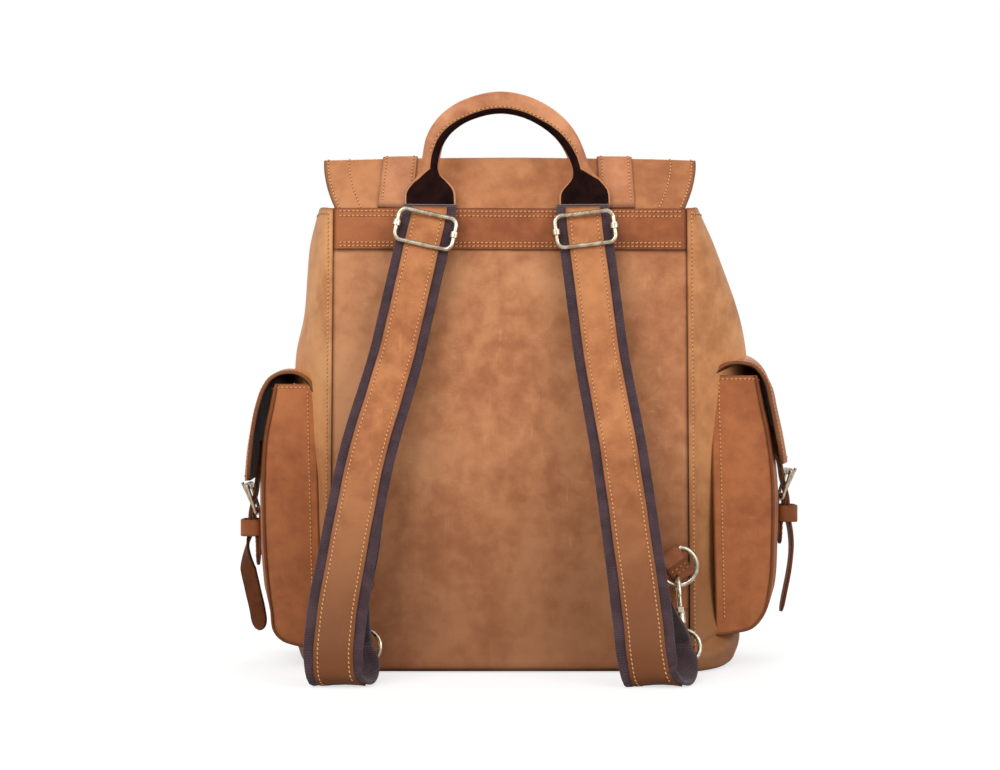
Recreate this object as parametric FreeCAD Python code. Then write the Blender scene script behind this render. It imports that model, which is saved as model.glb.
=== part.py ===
import FreeCAD, Part
import math
import os

# Leather backpack, millimetres. Origin at the centre of the base, +Z up. The back panel,
# with the shoulder straps, faces -Y; +X is to the right of someone looking at that panel.

V = FreeCAD.Vector
SIDES = {"left": -1, "right": 1}
os.makedirs("parts", exist_ok=True)

# ---- driving sizes: the bag -------------------------------------------------------------
leather = 2.2            # wall of the panels and gussets
lining_wall = 1.0
body_height = 371.0
back_y = -75.0           # outer face of the back panel
front_y_base = 75.0      # outer face of the front panel at the base
front_y_top = 55.0       # and at the mouth
back_half = 146.0        # half width of the back panel at the base
front_half = back_half - 6.0
panel_seam_inset = 4.0   # the gusset laps this far over each panel
yoke_depth = 33.0
yoke_thick = 2.0
# how far each side bulges past back_half at mid depth, at these shares of the height
bulge_levels = [0.0, 0.08, 0.4, 0.7, 0.81, 0.92, 1.0]
bulge_past = {"left": [22, 28, 31, 32, 24, 20, 12],
              "right": [34, 42, 48, 51, 43, 26, 9]}
bulge = {side: [back_half + past for past in bulge_past[side]] for side in SIDES}
fullest = {side: max(bulge[side]) for side in SIDES}

# ---- lid --------------------------------------------------------------------------------
ridge_y = -52.0
ridge_z = body_height + 41.0
lid_thick = 3.0
lid_half = back_half + 5.0       # half width at the ridge
lid_root_half = back_half - 8.0  # half width at the back seam
lid_drop_z = 186.0       # lower edge of the lid on the front
lid_corner_y = 62.0
lid_corner_radius = 32.0
lid_strap_x = {"left": -89.0, "right": 85.0}
lid_strap_width = 28.0

# ---- pockets ----------------------------------------------------------------------------
front_pocket_face = 92.0
front_pocket_half = 105.0
front_pocket_z = (25.0, 176.0)
front_pocket_wall = 2.0
pocket_wall = 2.2
pocket_half_depth = 52.0
pocket_base = 23.0
pocket_top = {"left": 230.0, "right": 236.0}
# outer wall at its front and back edges, and at mid depth
pocket_edge = {"left": fullest["left"] + 21.0, "right": fullest["right"] + 15.0}
pocket_mid = {"left": fullest["left"] + 28.0, "right": fullest["right"] + 25.0}
pocket_corner = 25.0
flap_thick = 3.0
flap_half_depth = 54.0
flap_hinge_x = {"left": fullest["left"] + 4.5, "right": fullest["right"] + 4.0}
flap_hinge_z = {"left": pocket_top["left"] + 13.0, "right": pocket_top["right"] + 15.0}
flap_shoulder = 5.0      # the flap turns down over this width
flap_shoulder_drop = 14.0
flap_end_above_bar = 8.0
flap_gap = 2.2           # from the sewn strip to the hinge line
flap_lift = 1.0          # the flaps and the lid hang this far off the snap plane

# ---- buckles (tip bar above, heel bar below) -----------------------------------------------
bar_z = {"left": 145.0, "right": 157.0}     # tip bars of the pocket buckles
lid_bar_z = 172.0        # tip bar of the lid buckles
wire_r = 1.5
tip_n = 12.0             # height of the tip bar over the snap plane
heel_n = 5.0
heel_u = 22.0            # distance from tip bar to heel bar, down the strap
frame_half = 12.0
roller_r = 3.0
running = 0.08           # radial clearance of a running fit
billet_thick = 2.5
billet_half = 9.5
chape_thick = 1.8
snap_r = 8.0
snap_thick = 1.2
snap_u = 50.0
chape_end = {"left": 67.0, "right": 61.0}
tail_end = {"left": 122.0, "right": 114.0}
lid_chape_end = 64.0
lid_tail_end = 96.0

# ---- handle -----------------------------------------------------------------------------
handle_x = {"left": -63.6, "right": 59.6}
handle_axis_y = -81.5
tab_half = 20.5
tab_thick = 3.0
tab_top = body_height + 19.0
waist_z = tab_top + 7.0
waist_half = 6.0
handle_roll = 8.0
handle_apex = tab_top + 65.0
handle_half_span = 61.0

# ---- shoulder straps ----------------------------------------------------------------------
web_width = 42.0
web_thick = 3.0
facing_width = 28.0
facing_thick = 1.5
facing_gap = 0.15        # glue line under the facing
return_thick = 1.6
return_gap = 6.1         # from the front layer's middle to the slider bar
slider_down = 6.0        # from the start of the straight stretch to the slider's centre
slider_half_w = 23.2     # to the middle of the side rails
slider_half_u = 12.7
slider_wire = 1.8
slider_corner = 6.0
slider_bar_r = 2.0
# the eyes of the snap hooks, below the corner rings
foot_left = 31.0 - back_half
foot_right = back_half - 10.0
seam_dip = body_height - 3.0      # the straps are sewn in under the yoke's upper edge here
slider_dip = body_height - 13.0
# middle of the front layer: x, y, z, width, thickness, down to the floor and through the eye
front_route = {
    "left": [
        (-64, -80.5, seam_dip, 42, 3), (-65.5, -88.4, slider_dip, 42, 3),
        (-82, -96.8, 285, 42, 3), (-88, -100, 258, 42, 3),
        (foot_left + 4.5, -115, 178, 43, 3), (foot_left - 10.5, -131, 98, 44, 3),
        (foot_left - 17.5, -142, 48, 44, 3), (foot_left - 19.5, -147, 22, 42, 3),
        (foot_left - 18, -145, 8.5, 38, 4), (foot_left - 14, -138, 4.0, 32, 5),
        (foot_left - 8, -127, 6.5, 25, 6), (foot_left - 3, -115, 15, 17, 7),
        (foot_left, -106, 21.5, 13, 8), (foot_left, -94, 26.5, 13, 8)],
    "right": [
        (58, -80.5, seam_dip, 42, 3), (58.5, -88.4, slider_dip, 42, 3),
        (67.5, -96.8, 285, 42, 3), (71, -100, 258, 42, 3),
        (foot_right - 51.5, -115, 178, 43, 3), (foot_right - 41, -131, 98, 44, 3),
        (foot_right - 35.5, -142, 48, 44, 3), (foot_right - 33.5, -147, 22, 42, 3),
        (foot_right - 31, -145, 8.5, 38, 4), (foot_right - 26, -138, 4.0, 32, 5),
        (foot_right - 17, -127, 6.5, 25, 6), (foot_right - 7, -115, 15, 17, 7),
        (foot_right, -106, 21.5, 13, 8), (foot_right, -94, 26.5, 13, 8)]}
facing_stations = 8      # the facing ends with this station, above the curl
# middle of the return layer from the eye up to where it lies behind the front layer
return_route = {
    "left": [
        (foot_left + 1, -89, 31, 13, 8), (foot_left + 8, -86, 42, 16, 5),
        (foot_left + 11, -90, 60, 24, 3), (foot_left + 7, -100, 82, 34, 1.6),
        (foot_left - 3, -113, 115, 42, 1.6)],
    "right": [
        (foot_right - 1, -89, 31, 13, 8), (foot_right - 12, -86, 42, 16, 5),
        (foot_right - 22, -91, 60, 24, 3), (foot_right - 31, -101, 82, 34, 1.6),
        (foot_right - 39, -113, 115, 42, 1.6)]}

# ---- rings and snap hooks -------------------------------------------------------------------
eye_centre = {"left": V(foot_left, -100, 24), "right": V(foot_right, -100, 24)}
ring_centre = {"left": V(16 - back_half, -88, 86), "right": V(back_half - 13, -88, 86)}
eye_radius = 13.2
eye_wire = 1.75
ring_radius = 15.0
ring_wire = 2.0
ring_bar_offset = 11.0
ring_bar_tilt = 35.0     # the bar's normal leans this far from straight up, towards the middle
loop_wall = 2.2
loop_half = 7.0
post_r = 1.6
head_r = 2.8
barrel_r = 4.2
barrel_s = (18.0, 27.0)
hook_wire = 1.75
hook_half = 7.5
hook_over_ring = 0.4     # the ring's wire hangs this far above the crown's centre
gate_length = 9.0


# ---- helpers ------------------------------------------------------------------------------
def save(name, shape):
    """Writes one sub-part."""
    shape.exportStep("parts/" + name + ".step")


def block(x, y, z):
    """A box between the pairs x, y and z."""
    return Part.makeBox(x[1] - x[0], y[1] - y[0], z[1] - z[0], V(x[0], y[0], z[0]))


def rod(a, b, radius):
    """A round bar from a to b."""
    return Part.makeCylinder(radius, (b - a).Length, a, b - a)


def prism(points, along):
    """A flat outline pushed along a vector."""
    return Part.Face(Part.makePolygon(points + [points[0]])).extrude(along)


def fuse(shapes):
    """One solid from several."""
    shapes = list(shapes)
    return shapes[0].fuse(shapes[1:]).removeSplitter()


def placed(shape, origin, u, n):
    """Moves a shape from its own u, w, n axes to the bag: w is n x u."""
    w = n.cross(u)
    turn = FreeCAD.Matrix(u.x, w.x, n.x, origin.x, u.y, w.y, n.y, origin.y,
                          u.z, w.z, n.z, origin.z, 0, 0, 0, 1)
    moved = shape.copy()
    moved.transformShape(turn)
    return moved


def band(path, radii, low, high, place, along):
    """A strip of sheet: the path's runs and arcs, offset by low and high, pushed along.

    The path is 2-D, its inner corners are rounded by radii, offsets go to its left."""
    corners = []
    for i in range(1, len(path) - 1):
        a, b, c = (V(p[0], p[1], 0) for p in path[i - 1:i + 2])
        into = (b - a).normalize()
        out = (c - b).normalize()
        turn = math.atan2(into.cross(out).z, into.dot(out))
        cut = radii[i - 1] * math.tan(abs(turn) / 2)
        corners.append((b - into * cut, b + out * cut, into, out, turn, radii[i - 1]))
    start = V(path[0][0], path[0][1], 0)
    end = V(path[-1][0], path[-1][1], 0)

    def side(offset):
        left = V(0, 0, 1)
        edges = []
        here = start
        ends = []
        for first, last, into, out, turn, radius in corners:
            n1 = left.cross(into)
            n2 = left.cross(out)
            sign = 1 if turn > 0 else -1
            centre = first + n1 * (sign * radius)
            middle = (n1 + n2).normalize() * (-sign * (radius - sign * offset))
            a = here + n1 * offset
            b = first + n1 * offset
            c = last + n2 * offset
            edges.append(Part.makeLine(place(a), place(b)))
            edges.append(Part.Arc(place(b), place(centre + middle), place(c)).toShape())
            ends.append((a, c))
            here = last
        direction = (end - here).normalize()
        n3 = left.cross(direction)
        edges.append(Part.makeLine(place(here + n3 * offset), place(end + n3 * offset)))
        first_point = ends[0][0] if ends else here + n3 * offset
        return edges, first_point, end + n3 * offset

    inner, inner_a, inner_b = side(low)
    outer, outer_a, outer_b = side(high)
    caps = [Part.makeLine(place(inner_a), place(outer_a)),
            Part.makeLine(place(inner_b), place(outer_b))]
    wire = Part.Wire(Part.__sortEdges__(inner + outer + caps))
    return Part.Face(wire).extrude(along)


def on_yz(x):
    """Places a path's (a, b) as (y, z) at x."""
    return lambda p: V(x, p.x, p.y)


def on_xz(y, sign):
    """Places a path's (a, b) as (x, z) at y, mirrored for the left."""
    return lambda p: V(sign * p.x, y, p.y)


def sheet_frame(points, i):
    """Tangent, across and outward directions of a strap at station i."""
    before = points[max(i - 1, 0)]
    after = points[min(i + 1, len(points) - 1)]
    tangent = (after - before).normalize()
    across = (V(1, 0, 0) - tangent * tangent.x).normalize()
    return tangent, across, across.cross(tangent).normalize()


def ribbon(stations, offset=0.0, width=None, thick=None):
    """A flat strap lofted through its stations, moved outward by offset."""
    points = [V(*s[:3]) for s in stations]
    wires = []
    for i, s in enumerate(stations):
        tangent, across, out = sheet_frame(points, i)
        a = across * ((width or s[3]) / 2)
        t = out * ((thick or s[4]) / 2)
        middle = points[i] - out * offset
        corners = [middle - a - t, middle + a - t, middle + a + t, middle - a + t]
        wires.append(Part.makePolygon(corners + [corners[0]]))
    return Part.makeLoft(wires, True, True)


# ---- body ---------------------------------------------------------------------------------
def plan_section(share, inset, z):
    """The bag's outline at a share of its height: flat back and front, bulging sides."""
    back = back_half - 3.0 * share - inset
    front = front_half - inset
    y0 = back_y + inset
    y1 = front_y_base + (front_y_top - front_y_base) * share - inset

    def side_bulge(side):
        for i in range(1, len(bulge_levels)):
            if share <= bulge_levels[i]:
                low, high = bulge_levels[i - 1], bulge_levels[i]
                k = (share - low) / (high - low)
                return bulge[side][i - 1] * (1 - k) + bulge[side][i] * k - inset
        return bulge[side][-1] - inset

    corners = [V(-back, y0, z), V(back, y0, z), V(front, y1, z), V(-front, y1, z)]
    right = V(side_bulge("right"), (y0 + y1) / 2, z)
    left = V(-side_bulge("left"), (y0 + y1) / 2, z)
    return Part.Wire([Part.makeLine(corners[0], corners[1]),
                      Part.Arc(corners[1], right, corners[2]).toShape(),
                      Part.makeLine(corners[2], corners[3]),
                      Part.Arc(corners[3], left, corners[0]).toShape()])


def body_solid(inset, floor, top=0.0):
    """The bag as one solid, inset from its outer face, from floor to the mouth."""
    shares = [floor / body_height] + [s for s in bulge_levels if s * body_height > floor + 1]
    wires = [plan_section(s, inset, s * body_height) for s in shares]
    if top:
        wires.append(plan_section(1.0, inset, body_height + top))
    return Part.makeLoft(wires, True, True)


body_outer = body_solid(0.0, 0.0)
walls = body_solid(0.0, leather).cut(body_solid(leather, leather - 1.0, 5.0))
seam_x = back_half - panel_seam_inset - 3.0
back_region = block((-seam_x, seam_x), (back_y - 5, back_y + leather), (-5, body_height + 5))
front_region = block((-front_half + panel_seam_inset, front_half - panel_seam_inset),
                     (front_y_top - 3 * leather, 200), (-5, body_height + 5))
base = body_solid(0.0, 0.0).common(block((-300, 300), (-200, 200), (0, leather)))
gussets = walls.cut(back_region).cut(front_region)
half_space = {side: block((0, 400) if s > 0 else (-400, 0), (-200, 200), (-5, 500))
              for side, s in SIDES.items()}
inner_skin = body_solid(leather, leather)
lining = inner_skin.cut(body_solid(leather + lining_wall, leather + lining_wall, 5.0))
yoke_z = body_height - yoke_depth
yoke = block((-seam_x - 2, seam_x + 2), (back_y - yoke_thick, back_y), (yoke_z, body_height))


# ---- lid ----------------------------------------------------------------------------------
def seam_rectangle(half, y, z):
    """A cross-section of the sewn root of the lid."""
    return Part.makePolygon([V(-half, y, z), V(half, y, z), V(half, y + yoke_thick, z),
                             V(-half, y + yoke_thick, z), V(-half, y, z)])


lid_root = Part.makeLoft([seam_rectangle(lid_root_half, back_y - yoke_thick, body_height),
                          seam_rectangle(lid_half, ridge_y - 1.3, ridge_z)], True, True)
snap_gap_front = front_pocket_face + snap_thick
lid_front_y = snap_gap_front + 1.0 + lid_thick / 2
# from the lower edge of the drop, up over the corner and back to the ridge: left is outside
lid_path = [(ridge_y + 2.0, ridge_z), (lid_corner_y, ridge_z - 4.0),
            (lid_front_y, ridge_z - 82.0), (lid_front_y, lid_drop_z)]
lid_radii = [lid_corner_radius, 60.0]
lid = band(lid_path, lid_radii, -lid_thick / 2, lid_thick / 2, on_yz(-lid_half),
           V(2 * lid_half, 0, 0))


# ---- buckle set in its own axes: u down the strap, w across, n outward ---------------------
def local(u, w, n):
    return V(u, w, n)


def on_un(w):
    """Places a path's (u, n) at w."""
    return lambda p: V(p.x, w, p.y)


def buckle_set(billet_start, chape_length, tail_length, flap_wall):
    """Frame, roller, prong, billet, chape, keeper and snap of one strap fastening."""
    tip = [local(0, s * frame_half, tip_n) for s in (-1, 1)]
    heel = [local(heel_u, s * frame_half, heel_n) for s in (-1, 1)]
    runs = [(tip[0], tip[1]), (tip[1], heel[1]), (heel[1], heel[0]), (heel[0], tip[0])]
    frame = fuse([rod(a, b, wire_r) for a, b in runs]
                 + [Part.makeSphere(wire_r, p) for p in tip + heel])
    bore = wire_r + running
    roller_half = frame_half - wire_r - 0.5
    roller = rod(local(0, -roller_half, tip_n), local(0, roller_half, tip_n), roller_r)
    roller = roller.cut(rod(local(0, -20, tip_n), local(0, 20, tip_n), bore))
    prong_half = 1.25
    ring = rod(local(heel_u, -prong_half, heel_n), local(heel_u, prong_half, heel_n), 2.9)
    tip_rest = tip_n + roller_r + 3.0
    arm = rod(local(heel_u - 1.0, 0, heel_n + 2.3), local(-2.5, 0, tip_rest), 1.2)
    prong = ring.fuse(arm).cut(rod(local(heel_u, -9, heel_n), local(heel_u, 9, heel_n), bore))
    fold = wire_r + 0.15
    fold_top = heel_n + fold + chape_thick
    over = fold_top + 0.3 + billet_thick / 2
    flat = flap_lift + flap_wall + billet_thick / 2
    billet_path = [(billet_start, flat), (-2, flat), (heel_u, over), (46, 7.8),
                   (tail_length, 6.6)]
    billet = band(billet_path, [14, 12, 40], -billet_thick / 2, billet_thick / 2,
                  on_un(-billet_half), V(0, 2 * billet_half, 0))
    billet = billet.cut(block((8, 25), (-1.9, 1.9), (0, 20)))
    front_layer = band([(heel_u, heel_n + fold + chape_thick / 2), (35, 4.5),
                        (chape_length, 4.4)], [30], -chape_thick / 2, chape_thick / 2,
                       on_un(-billet_half), V(0, 2 * billet_half, 0))
    back_layer = band([(heel_u, heel_n - fold - chape_thick / 2), (chape_length, 2.5)], [],
                      -chape_thick / 2, chape_thick / 2, on_un(-billet_half),
                      V(0, 2 * billet_half, 0))
    turn = rod(local(heel_u, -billet_half, heel_n), local(heel_u, billet_half, heel_n),
               fold + chape_thick)
    turn = turn.cut(rod(local(heel_u, -20, heel_n), local(heel_u, 20, heel_n), fold))
    turn = turn.common(block((0, heel_u), (-20, 20), (-20, 20)))
    chape = fuse([front_layer, back_layer, turn]).cut(block((17, 27), (-1.7, 1.7), (-2, 10)))
    tongue = rod(local(chape_length - billet_half, 0, -20),
                 local(chape_length - billet_half, 0, 20), billet_half)
    chape_body = block((0, chape_length - billet_half), (-20, 20), (-20, 20))
    chape = chape.common(chape_body.fuse(tongue))
    keeper = block((28, 38), (-12.3, 12.3), (0.2, 12.7))
    keeper = keeper.cut(block((27, 39), (-10.3, 10.3), (1.3, 11.4)))
    cap = rod(local(snap_u, 0, 0.1), local(snap_u, 0, 1.3), snap_r)
    socket = rod(local(snap_u, 0, -snap_thick), local(snap_u, 0, -0.1), snap_r)
    return {"buckle": frame, "roller": roller, "prong": prong, "billet": billet,
            "chape": chape, "keeper": keeper, "snap_cap": cap, "socket": socket}


# ---- side pockets, their flaps and buckles -------------------------------------------------
def pocket_block(side, inset, z0, z1):
    """The pocket's outer form: arched outer wall, rounded lower outer corner."""
    s = SIDES[side]
    edge = pocket_edge[side] - inset
    half = pocket_half_depth - inset
    pts = [V(s * 140, -half, z0), V(s * edge, -half, z0), V(s * edge, half, z0),
           V(s * 140, half, z0)]
    arc = Part.Arc(pts[1], V(s * (pocket_mid[side] - inset), 0, z0), pts[2]).toShape()
    wire = Part.Wire([Part.makeLine(pts[0], pts[1]), arc, Part.makeLine(pts[2], pts[3]),
                      Part.makeLine(pts[3], pts[0])])
    form = Part.Face(wire).extrude(V(0, 0, z1 - z0))
    r = pocket_corner - inset
    reach = pocket_mid[side] - inset
    trim = block((reach - r, reach + 50), (-80, 80), (z0 - 1, z0 + r))
    trim = trim.cut(rod(V(reach - r, -90, z0 + r), V(reach - r, 90, z0 + r), r))
    if s < 0:
        trim = trim.mirror(V(0, 0, 0), V(1, 0, 0))
    return form.cut(trim)


flap_roots = []
sockets = []
for side, s in SIDES.items():
    outer = pocket_block(side, 0.0, pocket_base, pocket_top[side])
    inner = pocket_block(side, pocket_wall, pocket_base + pocket_wall, pocket_top[side] + 5)
    save("side_pocket_" + side, outer.cut(inner).cut(body_outer))
    hinge_x, hinge_z = flap_hinge_x[side], flap_hinge_z[side]
    strip = band([(hinge_x - 45, hinge_z - 14), (hinge_x - 9, hinge_z - 1.5),
                  (hinge_x - flap_gap, hinge_z)], [25], -1.5, 1.5,
                 on_xz(-flap_half_depth, s), V(0, 2 * flap_half_depth, 0))
    flap_roots.append(strip.cut(body_outer))
    plane_x = pocket_mid[side] + snap_thick
    flap_x = plane_x + flap_lift + flap_thick / 2
    flap = band([(hinge_x + 1.2, hinge_z), (flap_x - flap_shoulder, hinge_z - 1.5),
                 (flap_x, hinge_z - flap_shoulder_drop), (flap_x, bar_z[side] + flap_end_above_bar)],
                [6.0, 12.0], -flap_thick / 2, flap_thick / 2,
                on_xz(-flap_half_depth, s), V(0, 2 * flap_half_depth, 0))
    save("pocket_flap_" + side, flap)
    pieces = buckle_set(-45.0, chape_end[side], tail_end[side], flap_thick)
    sockets.append(placed(pieces.pop("socket"), V(s * plane_x, 0, bar_z[side]), V(0, 0, -1),
                          V(s, 0, 0)))
    for name, piece in pieces.items():
        save("pocket_" + name + "_" + side,
             placed(piece, V(s * plane_x, 0, bar_z[side]), V(0, 0, -1), V(s, 0, 0)))

# ---- front pocket --------------------------------------------------------------------------
pocket_form = block((-front_pocket_half, front_pocket_half),
                    (front_y_top - 10, front_pocket_face), front_pocket_z)
pocket_room = block((-front_pocket_half + front_pocket_wall,
                     front_pocket_half - front_pocket_wall),
                    (front_y_top - 20, front_pocket_face - front_pocket_wall),
                    (front_pocket_z[0] + front_pocket_wall, front_pocket_z[1] + 5))
save("front_pocket", pocket_form.cut(pocket_room).cut(body_outer))

# ---- lid straps and buckles ------------------------------------------------------------------
lid_sets = {}
for side in SIDES:
    pieces = buckle_set(lid_bar_z - lid_drop_z, lid_chape_end, lid_tail_end, lid_thick)
    origin = V(lid_strap_x[side], snap_gap_front, lid_bar_z)
    lid_sets[side] = {name: placed(piece, origin, V(0, 0, -1), V(0, 1, 0))
                      for name, piece in pieces.items()}
    sockets.append(lid_sets[side].pop("socket"))
    over_lid = band(lid_path, lid_radii, lid_thick / 2, lid_thick / 2 + billet_thick,
                    on_yz(lid_strap_x[side] - lid_strap_width / 2),
                    V(lid_strap_width, 0, 0))
    lid_sets[side]["billet"] = over_lid.fuse(lid_sets[side]["billet"])
    save("lid_roller_" + side, lid_sets[side]["roller"])
    save("lid_prong_" + side, lid_sets[side]["prong"])
for name, node in (("billet", "lid_straps"), ("chape", "lid_chapes"), ("buckle", "lid_buckles"),
                   ("keeper", "lid_keepers"), ("snap_cap", "lid_snap_caps")):
    save(node, Part.makeCompound([lid_sets[side][name] for side in SIDES]))

# ---- body pieces out ---------------------------------------------------------------------------
save("back_panel", walls.common(back_region))
save("front_panel", walls.common(front_region))
for side in SIDES:
    save("side_gusset_" + side, gussets.common(half_space[side]))
save("base_panel", base)
save("lining", lining)
save("back_yoke", yoke)
save("lid_root", lid_root)
save("lid", lid)
save("flap_roots", Part.makeCompound(flap_roots))
save("snap_sockets", Part.makeCompound(sockets))


# ---- handle ----------------------------------------------------------------------------------
def handle():
    """Flat tabs sewn in the seam, a waist, and a rolled arch between them."""
    tab_y = handle_axis_y + 0.5
    mid_y = tab_y + tab_thick / 2
    middle = (handle_x["left"] + handle_x["right"]) / 2
    leather_parts = []
    lining_parts = []
    for side, s in SIDES.items():
        x = handle_x[side]
        low = body_height + 1.0
        outline = [V(x - tab_half, tab_y, low), V(x + tab_half, tab_y, low),
                   V(x + tab_half, tab_y, tab_top - 8), V(x + waist_half, tab_y, waist_z),
                   V(x - waist_half, tab_y, waist_z), V(x - tab_half, tab_y, tab_top - 8)]
        leather_parts.append(prism(outline, V(0, tab_thick, 0)))
        rim = 2.5
        inside = [V(p.x + (rim if p.x < x else -rim), tab_y - 0.45, p.z)
                  for p in outline[:3] + outline[5:]]
        lining_parts.append(prism(inside, V(0, 0.45, 0)))
    foot = V(middle + handle_half_span, mid_y, waist_z)
    rise = handle_apex - waist_z
    start = V(middle - handle_half_span, mid_y, waist_z)
    shoulder = rise - handle_half_span * 0.72
    path = Part.Wire([Part.makeLine(start, start + V(0, 0, shoulder)),
                      Part.Arc(start + V(0, 0, shoulder), V(middle, mid_y, handle_apex),
                               foot + V(0, 0, shoulder)).toShape(),
                      Part.makeLine(foot + V(0, 0, shoulder), foot)])
    profile = Part.Wire(Part.makeCircle(handle_roll, start, V(0, 0, 1)))
    leather_parts.append(path.makePipeShell([profile], True, False))
    return fuse(leather_parts), Part.makeCompound(lining_parts)


handle_leather, handle_lining = handle()
save("handle_leather", handle_leather)
save("handle_lining", handle_lining)


# ---- shoulder straps, sliders, eyes, hooks and corner rings ------------------------------------
def slider_pieces(side):
    """The slider's frame and its loose bar in strap axes, with their place."""
    route = [V(*p[:3]) for p in front_route[side]]
    down = (route[2] - route[1]).normalize()
    across = (V(1, 0, 0) - down * down.x).normalize()
    out = down.cross(across) * -1
    if out.y > 0:
        out = out * -1
    centre = route[1] + down * slider_down
    frame_n = web_thick / 2 + facing_thick + 0.4 + slider_wire
    a, b, r = slider_half_u, slider_half_w, slider_corner
    bits = []
    for s in (-1, 1):
        bits.append(rod(V(s * a, r - b, frame_n), V(s * a, b - r, frame_n), slider_wire))
        bits.append(rod(V(r - a, s * b, frame_n), V(a - r, s * b, frame_n), slider_wire))
    for su, sw, turn in ((1, 1, 0), (-1, 1, 90), (-1, -1, 180), (1, -1, 270)):
        corner = Part.makeTorus(r, slider_wire, V(0, 0, 0), V(0, 0, 1), 0, 360, 90)
        corner.rotate(V(0, 0, 0), V(0, 0, 1), turn)
        corner.translate(V(su * (a - r), sw * (b - r), frame_n))
        bits.append(corner)
    frame = fuse(bits)
    bar_parts = [rod(V(0, -b, -return_gap), V(0, b, -return_gap), slider_bar_r)]
    for s in (-1, 1):
        bar_parts.append(rod(V(0, s * b, -return_gap), V(0, s * b, frame_n), 1.7))
        bar_parts.append(rod(V(-2.2, s * b, frame_n), V(2.2, s * b, frame_n),
                             slider_wire + 1.6))
        bar_parts.append(Part.makeSphere(slider_bar_r, V(0, s * b, -return_gap)))
    bar = fuse(bar_parts)
    for s in (-1, 1):
        bar = bar.cut(rod(V(-9, s * b, frame_n), V(9, s * b, frame_n),
                          slider_wire + running))
    loop = rod(V(0, 2 - web_width / 2, -return_gap), V(0, web_width / 2 - 2, -return_gap),
               slider_bar_r + 0.2 + return_thick)
    loop = loop.cut(rod(V(0, -30, -return_gap), V(0, 30, -return_gap), slider_bar_r + 0.2))
    return [placed(p, centre, down, out) for p in (frame, bar, loop)], centre, down, out


def chain(side):
    """Eye, snap hook and gate along the line from the eye's centre to the ring's wire."""
    bite = ring_centre[side] - V(0, 0, ring_radius)
    axis = bite - eye_centre[side]
    reach = axis.Length
    up = axis.normalize()
    out = (V(0, -1, 0) + up * up.y).normalize()

    # in these axes u is up the chain, n is outward
    eye = Part.makeTorus(eye_radius, eye_wire, V(0, 0, 0), V(0, 0, 1))
    eye = fuse([eye, rod(V(eye_radius, 0, 0), V(24, 0, 0), post_r),
                rod(V(22.5, 0, 0), V(24, 0, 0), head_r)])
    barrel = rod(V(barrel_s[0], 0, 0), V(barrel_s[1], 0, 0), barrel_r)
    barrel = barrel.cut(rod(V(17, 0, 0), V(21, 0, 0), post_r + running))
    barrel = barrel.cut(rod(V(21, 0, 0), V(25, 0, 0), head_r + 0.3))
    crown = reach - hook_over_ring
    foot = block((barrel_s[1] - 1.0, barrel_s[1] + 3.0), (-2.2, 2.2),
                 (-hook_half - hook_wire, hook_half + hook_wire))
    leg = rod(V(barrel_s[1], 0, -hook_half), V(crown, 0, -hook_half), hook_wire)
    arch = Part.makeTorus(hook_half, hook_wire, V(0, 0, 0), V(0, 0, 1), 0, 360, 180)
    arch.rotate(V(0, 0, 0), V(1, 0, 0), 90)
    arch.rotate(V(0, 0, 0), V(0, 1, 0), 90)
    arch.translate(V(crown, 0, 0))
    gate_low = barrel_s[1] + 3.0
    nose_end = gate_low + gate_length + 0.5
    nose = rod(V(nose_end, 0, hook_half), V(crown, 0, hook_half), hook_wire)
    hook = fuse([barrel, foot, leg, arch, nose])
    gate = rod(V(gate_low + 0.6, 0, hook_half), V(gate_low + gate_length, 0, hook_half), 1.4)
    return [placed(p, eye_centre[side], up, out) for p in (eye, hook, gate)]


def corner_ring(side):
    """A ring with one straight bar, and the folded leather loop that holds it."""
    s = SIDES[side]
    tilt = math.radians(ring_bar_tilt)
    normal = V(-s * math.sin(tilt), 0, math.cos(tilt))
    half = math.sqrt(ring_radius ** 2 - ring_bar_offset ** 2)
    open_angle = 2 * math.degrees(math.asin(half / ring_radius))
    arc = Part.makeTorus(ring_radius, ring_wire, V(0, 0, 0), V(0, 0, 1), 0, 360,
                         360 - open_angle)
    arc.rotate(V(0, 0, 0), V(0, 0, 1), open_angle / 2)
    bar = rod(V(ring_bar_offset, -half, 0), V(ring_bar_offset, half, 0), ring_wire)
    ends = [Part.makeSphere(ring_wire, V(ring_bar_offset, q * half, 0)) for q in (-1, 1)]
    ring = placed(fuse([arc, bar] + ends), ring_centre[side], normal, V(0, -1, 0))
    depth = abs(ring_centre[side].y) - abs(back_y) - yoke_thick
    inner = ring_wire + 0.25
    outer = inner + loop_wall
    at = ring_bar_offset
    tube = rod(V(at, -loop_half, 0), V(at, loop_half, 0), outer)
    tail = prism([V(at, -loop_half, outer), V(at, -loop_half, -outer),
                  V(at + 12, -loop_half, -depth), V(at + 24, -loop_half, -depth),
                  V(at + 24, -loop_half, -depth + 4), V(at + 14, -loop_half, 0)],
                 V(0, 2 * loop_half, 0))
    loop = fuse([tube, tail]).cut(rod(V(at, -30, 0), V(at, 30, 0), inner))
    return ring, placed(loop, ring_centre[side], normal, V(0, -1, 0))


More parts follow.
